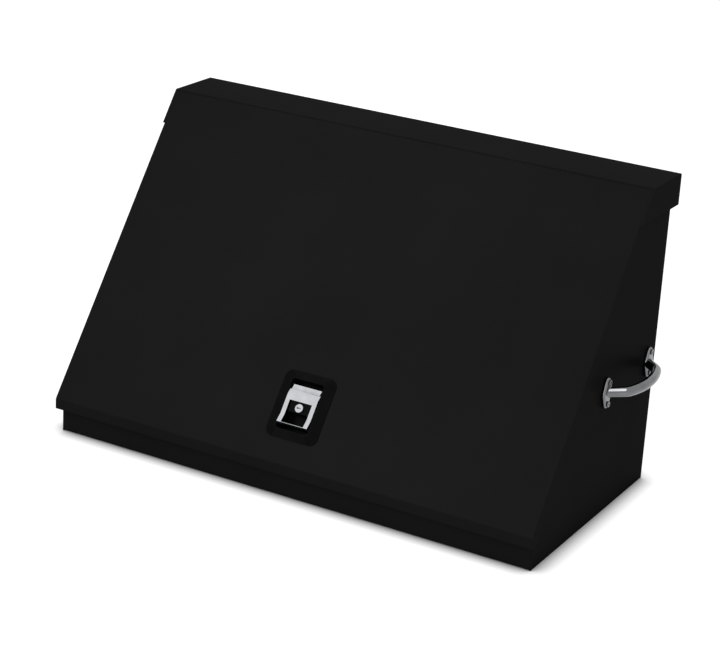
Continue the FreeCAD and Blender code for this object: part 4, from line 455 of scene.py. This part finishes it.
CROSS = [(RECESS_DEPTH, RECESS_LENGTH, RECESS_WIDTH), (RECESS_DEPTH, RECESS_WIDTH, RECESS_LENGTH)]
cut_slots(screws, [((side * HEAD_FACE, y, z), size, 0)
                   for side in (-1, 1) for y in FOOT_Y for z in SCREW_Z for size in CROSS])
for node_name in ("striker_rivets", "hinge_rivets_case", "stand_rivets"):
    work_edges(node_name, HEAD_EDGE, segments=4)
for node_name in ("handle_nuts", "latch_nuts", "lock_nut"):
    work_edges(node_name, NUT_EDGE)
work_edges("latch_gasket", SHEET_EDGE)


# ---------------------------------------------------------------- bolt spring
# The bolt's spring: a smoothed copy of the wire with a mesh of its own. The real wire is pressed shorter
# by the bolt's whole stroke, towards its fixed upper end.
WIRE_SMOOTH = 60  # degrees
spring = merged_copy("bolt_spring")
bpy.ops.mesh.normals_make_consistent(inside=False)
bpy.ops.object.mode_set(mode="OBJECT")
bpy.ops.object.shade_smooth_by_angle(angle=math.radians(WIRE_SMOOTH))
stand_in(spring, "bolt_spring")
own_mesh(spring)


# ---------------------------------------------------------------- foam liners
LINER_CORNER = 3 * MM
CORNER_SEGMENTS = 8
LINER_SMOOTH = 50  # degrees
# Each step in from the side, and the rise that goes with it
LINER_EDGE = ((0.2 * MM, 0.5 * MM), (0.4 * MM, 0.4 * MM), (0.6 * MM, 0.2 * MM))
LINER_CROWN = ((6 * MM, 0.35 * MM), (12 * MM, 0.3 * MM), (16 * MM, 0.15 * MM))


def upright_edges(mesh):
    """Edges that run straight up."""
    points = mesh.vertices
    return [edge for edge in mesh.edges
            if (points[edge.vertices[0]].co - points[edge.vertices[1]].co).xy.length < MERGE]


def top_face(mesh):
    """The one face that lies highest."""
    return [max(mesh.polygons, key=lambda face: face.center.z)]


def cut_liner(name):
    """Foam liner: knife-cut sides, corners to the tray's radius, edge soft and top a little crowned."""
    low, high = (Vector(corner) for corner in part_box(name))
    bpy.ops.object.select_all(action="DESELECT")
    bpy.ops.mesh.primitive_cube_add(size=1, location=(low + high) / 2)
    piece = bpy.context.object
    piece.name = f"{name}_liner"
    piece.scale = high - low
    bpy.ops.object.transform_apply(location=True, rotation=False, scale=True)
    bpy.ops.object.mode_set(mode="EDIT")
    bpy.ops.mesh.select_mode(type="EDGE")
    choose(piece, upright_edges)
    bpy.ops.mesh.bevel(offset=LINER_CORNER, segments=CORNER_SEGMENTS)
    bpy.ops.mesh.select_mode(type="FACE")
    choose(piece, top_face)
    bpy.ops.transform.translate(value=(0, 0, -sum(rise for inset, rise in LINER_EDGE + LINER_CROWN)))
    width, depth = (high - low).xy
    for inset, rise in LINER_EDGE:
        bpy.ops.mesh.inset(thickness=inset, depth=0)
        bpy.ops.transform.translate(value=(0, 0, rise))
        width -= 2 * inset
        depth -= 2 * inset
    for inset, rise in LINER_CROWN:
        bpy.ops.mesh.extrude_region_move(TRANSFORM_OT_translate={"value": (0, 0, rise)})
        bpy.ops.transform.resize(value=(1 - 2 * inset / width, 1 - 2 * inset / depth, 1))
        width -= 2 * inset
        depth -= 2 * inset
    bpy.ops.object.mode_set(mode="OBJECT")
    bpy.ops.object.shade_smooth_by_angle(angle=math.radians(LINER_SMOOTH))
    stand_in(piece, name)


for node_name in ("foam_front", "foam_middle", "foam_rear"):
    cut_liner(node_name)


# ---------------------------------------------------------------- studio and camera
AMBIENT = 0.23

FLOOR_SIZE = 14
FLOOR_DROP = 0.2 * MM
FLOOR_SHADE = "#bcbcbc"
FLOOR_GLOW = "#f2f2f2"
SHADOW_REACH = 0.03
SHADOW_SAMPLES = 16
SHADOW_FULL = 0.45  # share of open air at which the floor is darkest

HANDLE_MIDDLE = (0.39, 0.02, 0.19)

CAMERA_PLACE = (1.3828, -2.4970, 1.2686)
CAMERA_TURN = 28.885  # degrees, as are the next two
CAMERA_DOWN = 20.686
CAMERA_LEAN = 3.377
LENS = 109.23
SENSOR = 36
FAR = 50


def shown_directly(tree):
    """1 for what the camera sees straight, in reflections and through glass, and 0 for other light."""
    seen = add_node(tree, "ShaderNodeLightPath")
    camera_or_glossy = add_node(tree, "ShaderNodeMath", {"operation": "MAXIMUM"})
    tree.links.new(seen.outputs["Is Camera Ray"], camera_or_glossy.inputs[0])
    tree.links.new(seen.outputs["Is Glossy Ray"], camera_or_glossy.inputs[1])
    shown = add_node(tree, "ShaderNodeMath", {"operation": "MAXIMUM"})
    tree.links.new(camera_or_glossy.outputs[0], shown.inputs[0])
    tree.links.new(seen.outputs["Is Transmission Ray"], shown.inputs[1])
    return shown.outputs[0]


def make_backdrop():
    """World that is white to the camera and in reflections, and a plain level for the rest."""
    world = bpy.data.worlds.new("studio_world")
    bpy.context.scene.world = world
    world.use_nodes = True
    tree = world.node_tree
    level = add_node(tree, "ShaderNodeMapRange", {"To Min": AMBIENT, "To Max": 1.0},
                     Value=shown_directly(tree))
    back = tree.nodes["Background"]
    back.inputs["Color"].default_value = linear(WHITE)
    tree.links.new(level.outputs["Result"], back.inputs["Strength"])


def make_floor():
    """Pale floor: white to the camera but for the soft shadow close round the chest."""
    bpy.ops.mesh.primitive_plane_add(size=FLOOR_SIZE, location=(0, 0, -FLOOR_DROP))
    floor = bpy.context.object
    floor.name = "studio_floor"
    material = bpy.data.materials.new("pale_floor")
    material.use_nodes = True
    tree = material.node_tree
    tree.nodes.remove(tree.nodes["Principled BSDF"])
    paper = add_node(tree, "ShaderNodeBsdfDiffuse", {"Color": linear(FLOOR_SHADE)})
    # Painted shadow: the glow is dimmed by ambient occlusion close round the chest; only the paper's
    # diffuse part takes the lamps' real shadow.
    near = add_node(tree, "ShaderNodeAmbientOcclusion",
                    {"Distance": SHADOW_REACH, "samples": SHADOW_SAMPLES})
    open_air = add_node(tree, "ShaderNodeMapRange", {"From Min": SHADOW_FULL, "From Max": 1.0},
                        Value=near.outputs["AO"])
    strength = add_node(tree, "ShaderNodeMath", {"operation": "MULTIPLY"})
    tree.links.new(open_air.outputs["Result"], strength.inputs[0])
    tree.links.new(shown_directly(tree), strength.inputs[1])
    glow = add_node(tree, "ShaderNodeEmission", {"Color": linear(FLOOR_GLOW)},
                    Strength=strength.outputs[0])
    both = tree.nodes.new("ShaderNodeAddShader")
    tree.links.new(paper.outputs[0], both.inputs[0])
    tree.links.new(glow.outputs[0], both.inputs[1])
    tree.links.new(both.outputs[0], tree.nodes["Material Output"].inputs["Surface"])
    floor.data.materials.append(material)


def make_lamp(name, place, target, size, watts, length_along=(0, 0, 1), mirrored=True):
    """Softbox unseen by the camera; size is (width, length) in metres, with its length along a direction.

    One that isn't mirrored is unseen in reflections as well.
    """
    lamp = bpy.data.lights.new(name, "AREA")
    lamp.shape = "RECTANGLE"
    lamp.size, lamp.size_y = size
    lamp.energy = watts
    holder = bpy.data.objects.new(name, lamp)
    bpy.context.scene.collection.objects.link(holder)
    back = (Vector(place) - Vector(target)).normalized()
    along = Vector(length_along)
    along = (along - along.dot(back) * back).normalized()
    across = along.cross(back)
    facing = Matrix((across, along, back)).transposed().to_4x4()
    holder.matrix_world = Matrix.Translation(place) @ facing
    holder.visible_camera = False
    holder.visible_glossy = mirrored


def make_camera():
    """Long lens from the front right and above, leaning a little."""
    camera = bpy.data.objects.new("camera", bpy.data.cameras.new("camera"))
    bpy.context.scene.collection.objects.link(camera)
    camera.data.sensor_width = SENSOR
    camera.data.lens = LENS
    turn = Matrix.Rotation(math.radians(CAMERA_TURN), 4, "Z")
    tilt = Matrix.Rotation(math.radians(90 - CAMERA_DOWN), 4, "X")
    lean = Matrix.Rotation(math.radians(CAMERA_LEAN), 4, "Z")
    camera.matrix_world = Matrix.Translation(CAMERA_PLACE) @ turn @ tilt @ lean
    camera.data.clip_end = FAR
    bpy.context.scene.camera = camera


make_backdrop()
make_floor()
make_lamp("key_softbox", place=(-1.04, -1.5, 1.66), target=(0, -0.14, 0.12), size=(1.0, 2.7), watts=22,
          length_along=(0, 0.75, 0.66))
make_lamp("front_softbox", place=(0.6, -1.6, 0.6), target=(0.15, -0.1, 0.2), size=(1.0, 1.0), watts=4.5)
make_lamp("back_softbox", place=(-0.9, 2.5, 0.7), target=(0, 0.15, 0.2), size=(1.6, 1.6), watts=10,
          mirrored=False)
make_lamp("top_strip", place=(1.41, -0.12, 2.02), target=HANDLE_MIDDLE, size=(0.4, 2.0), watts=9,
          length_along=(-0.54, 0.61, 0.3))
make_camera()
bpy.context.scene.view_settings.view_transform = "Standard"
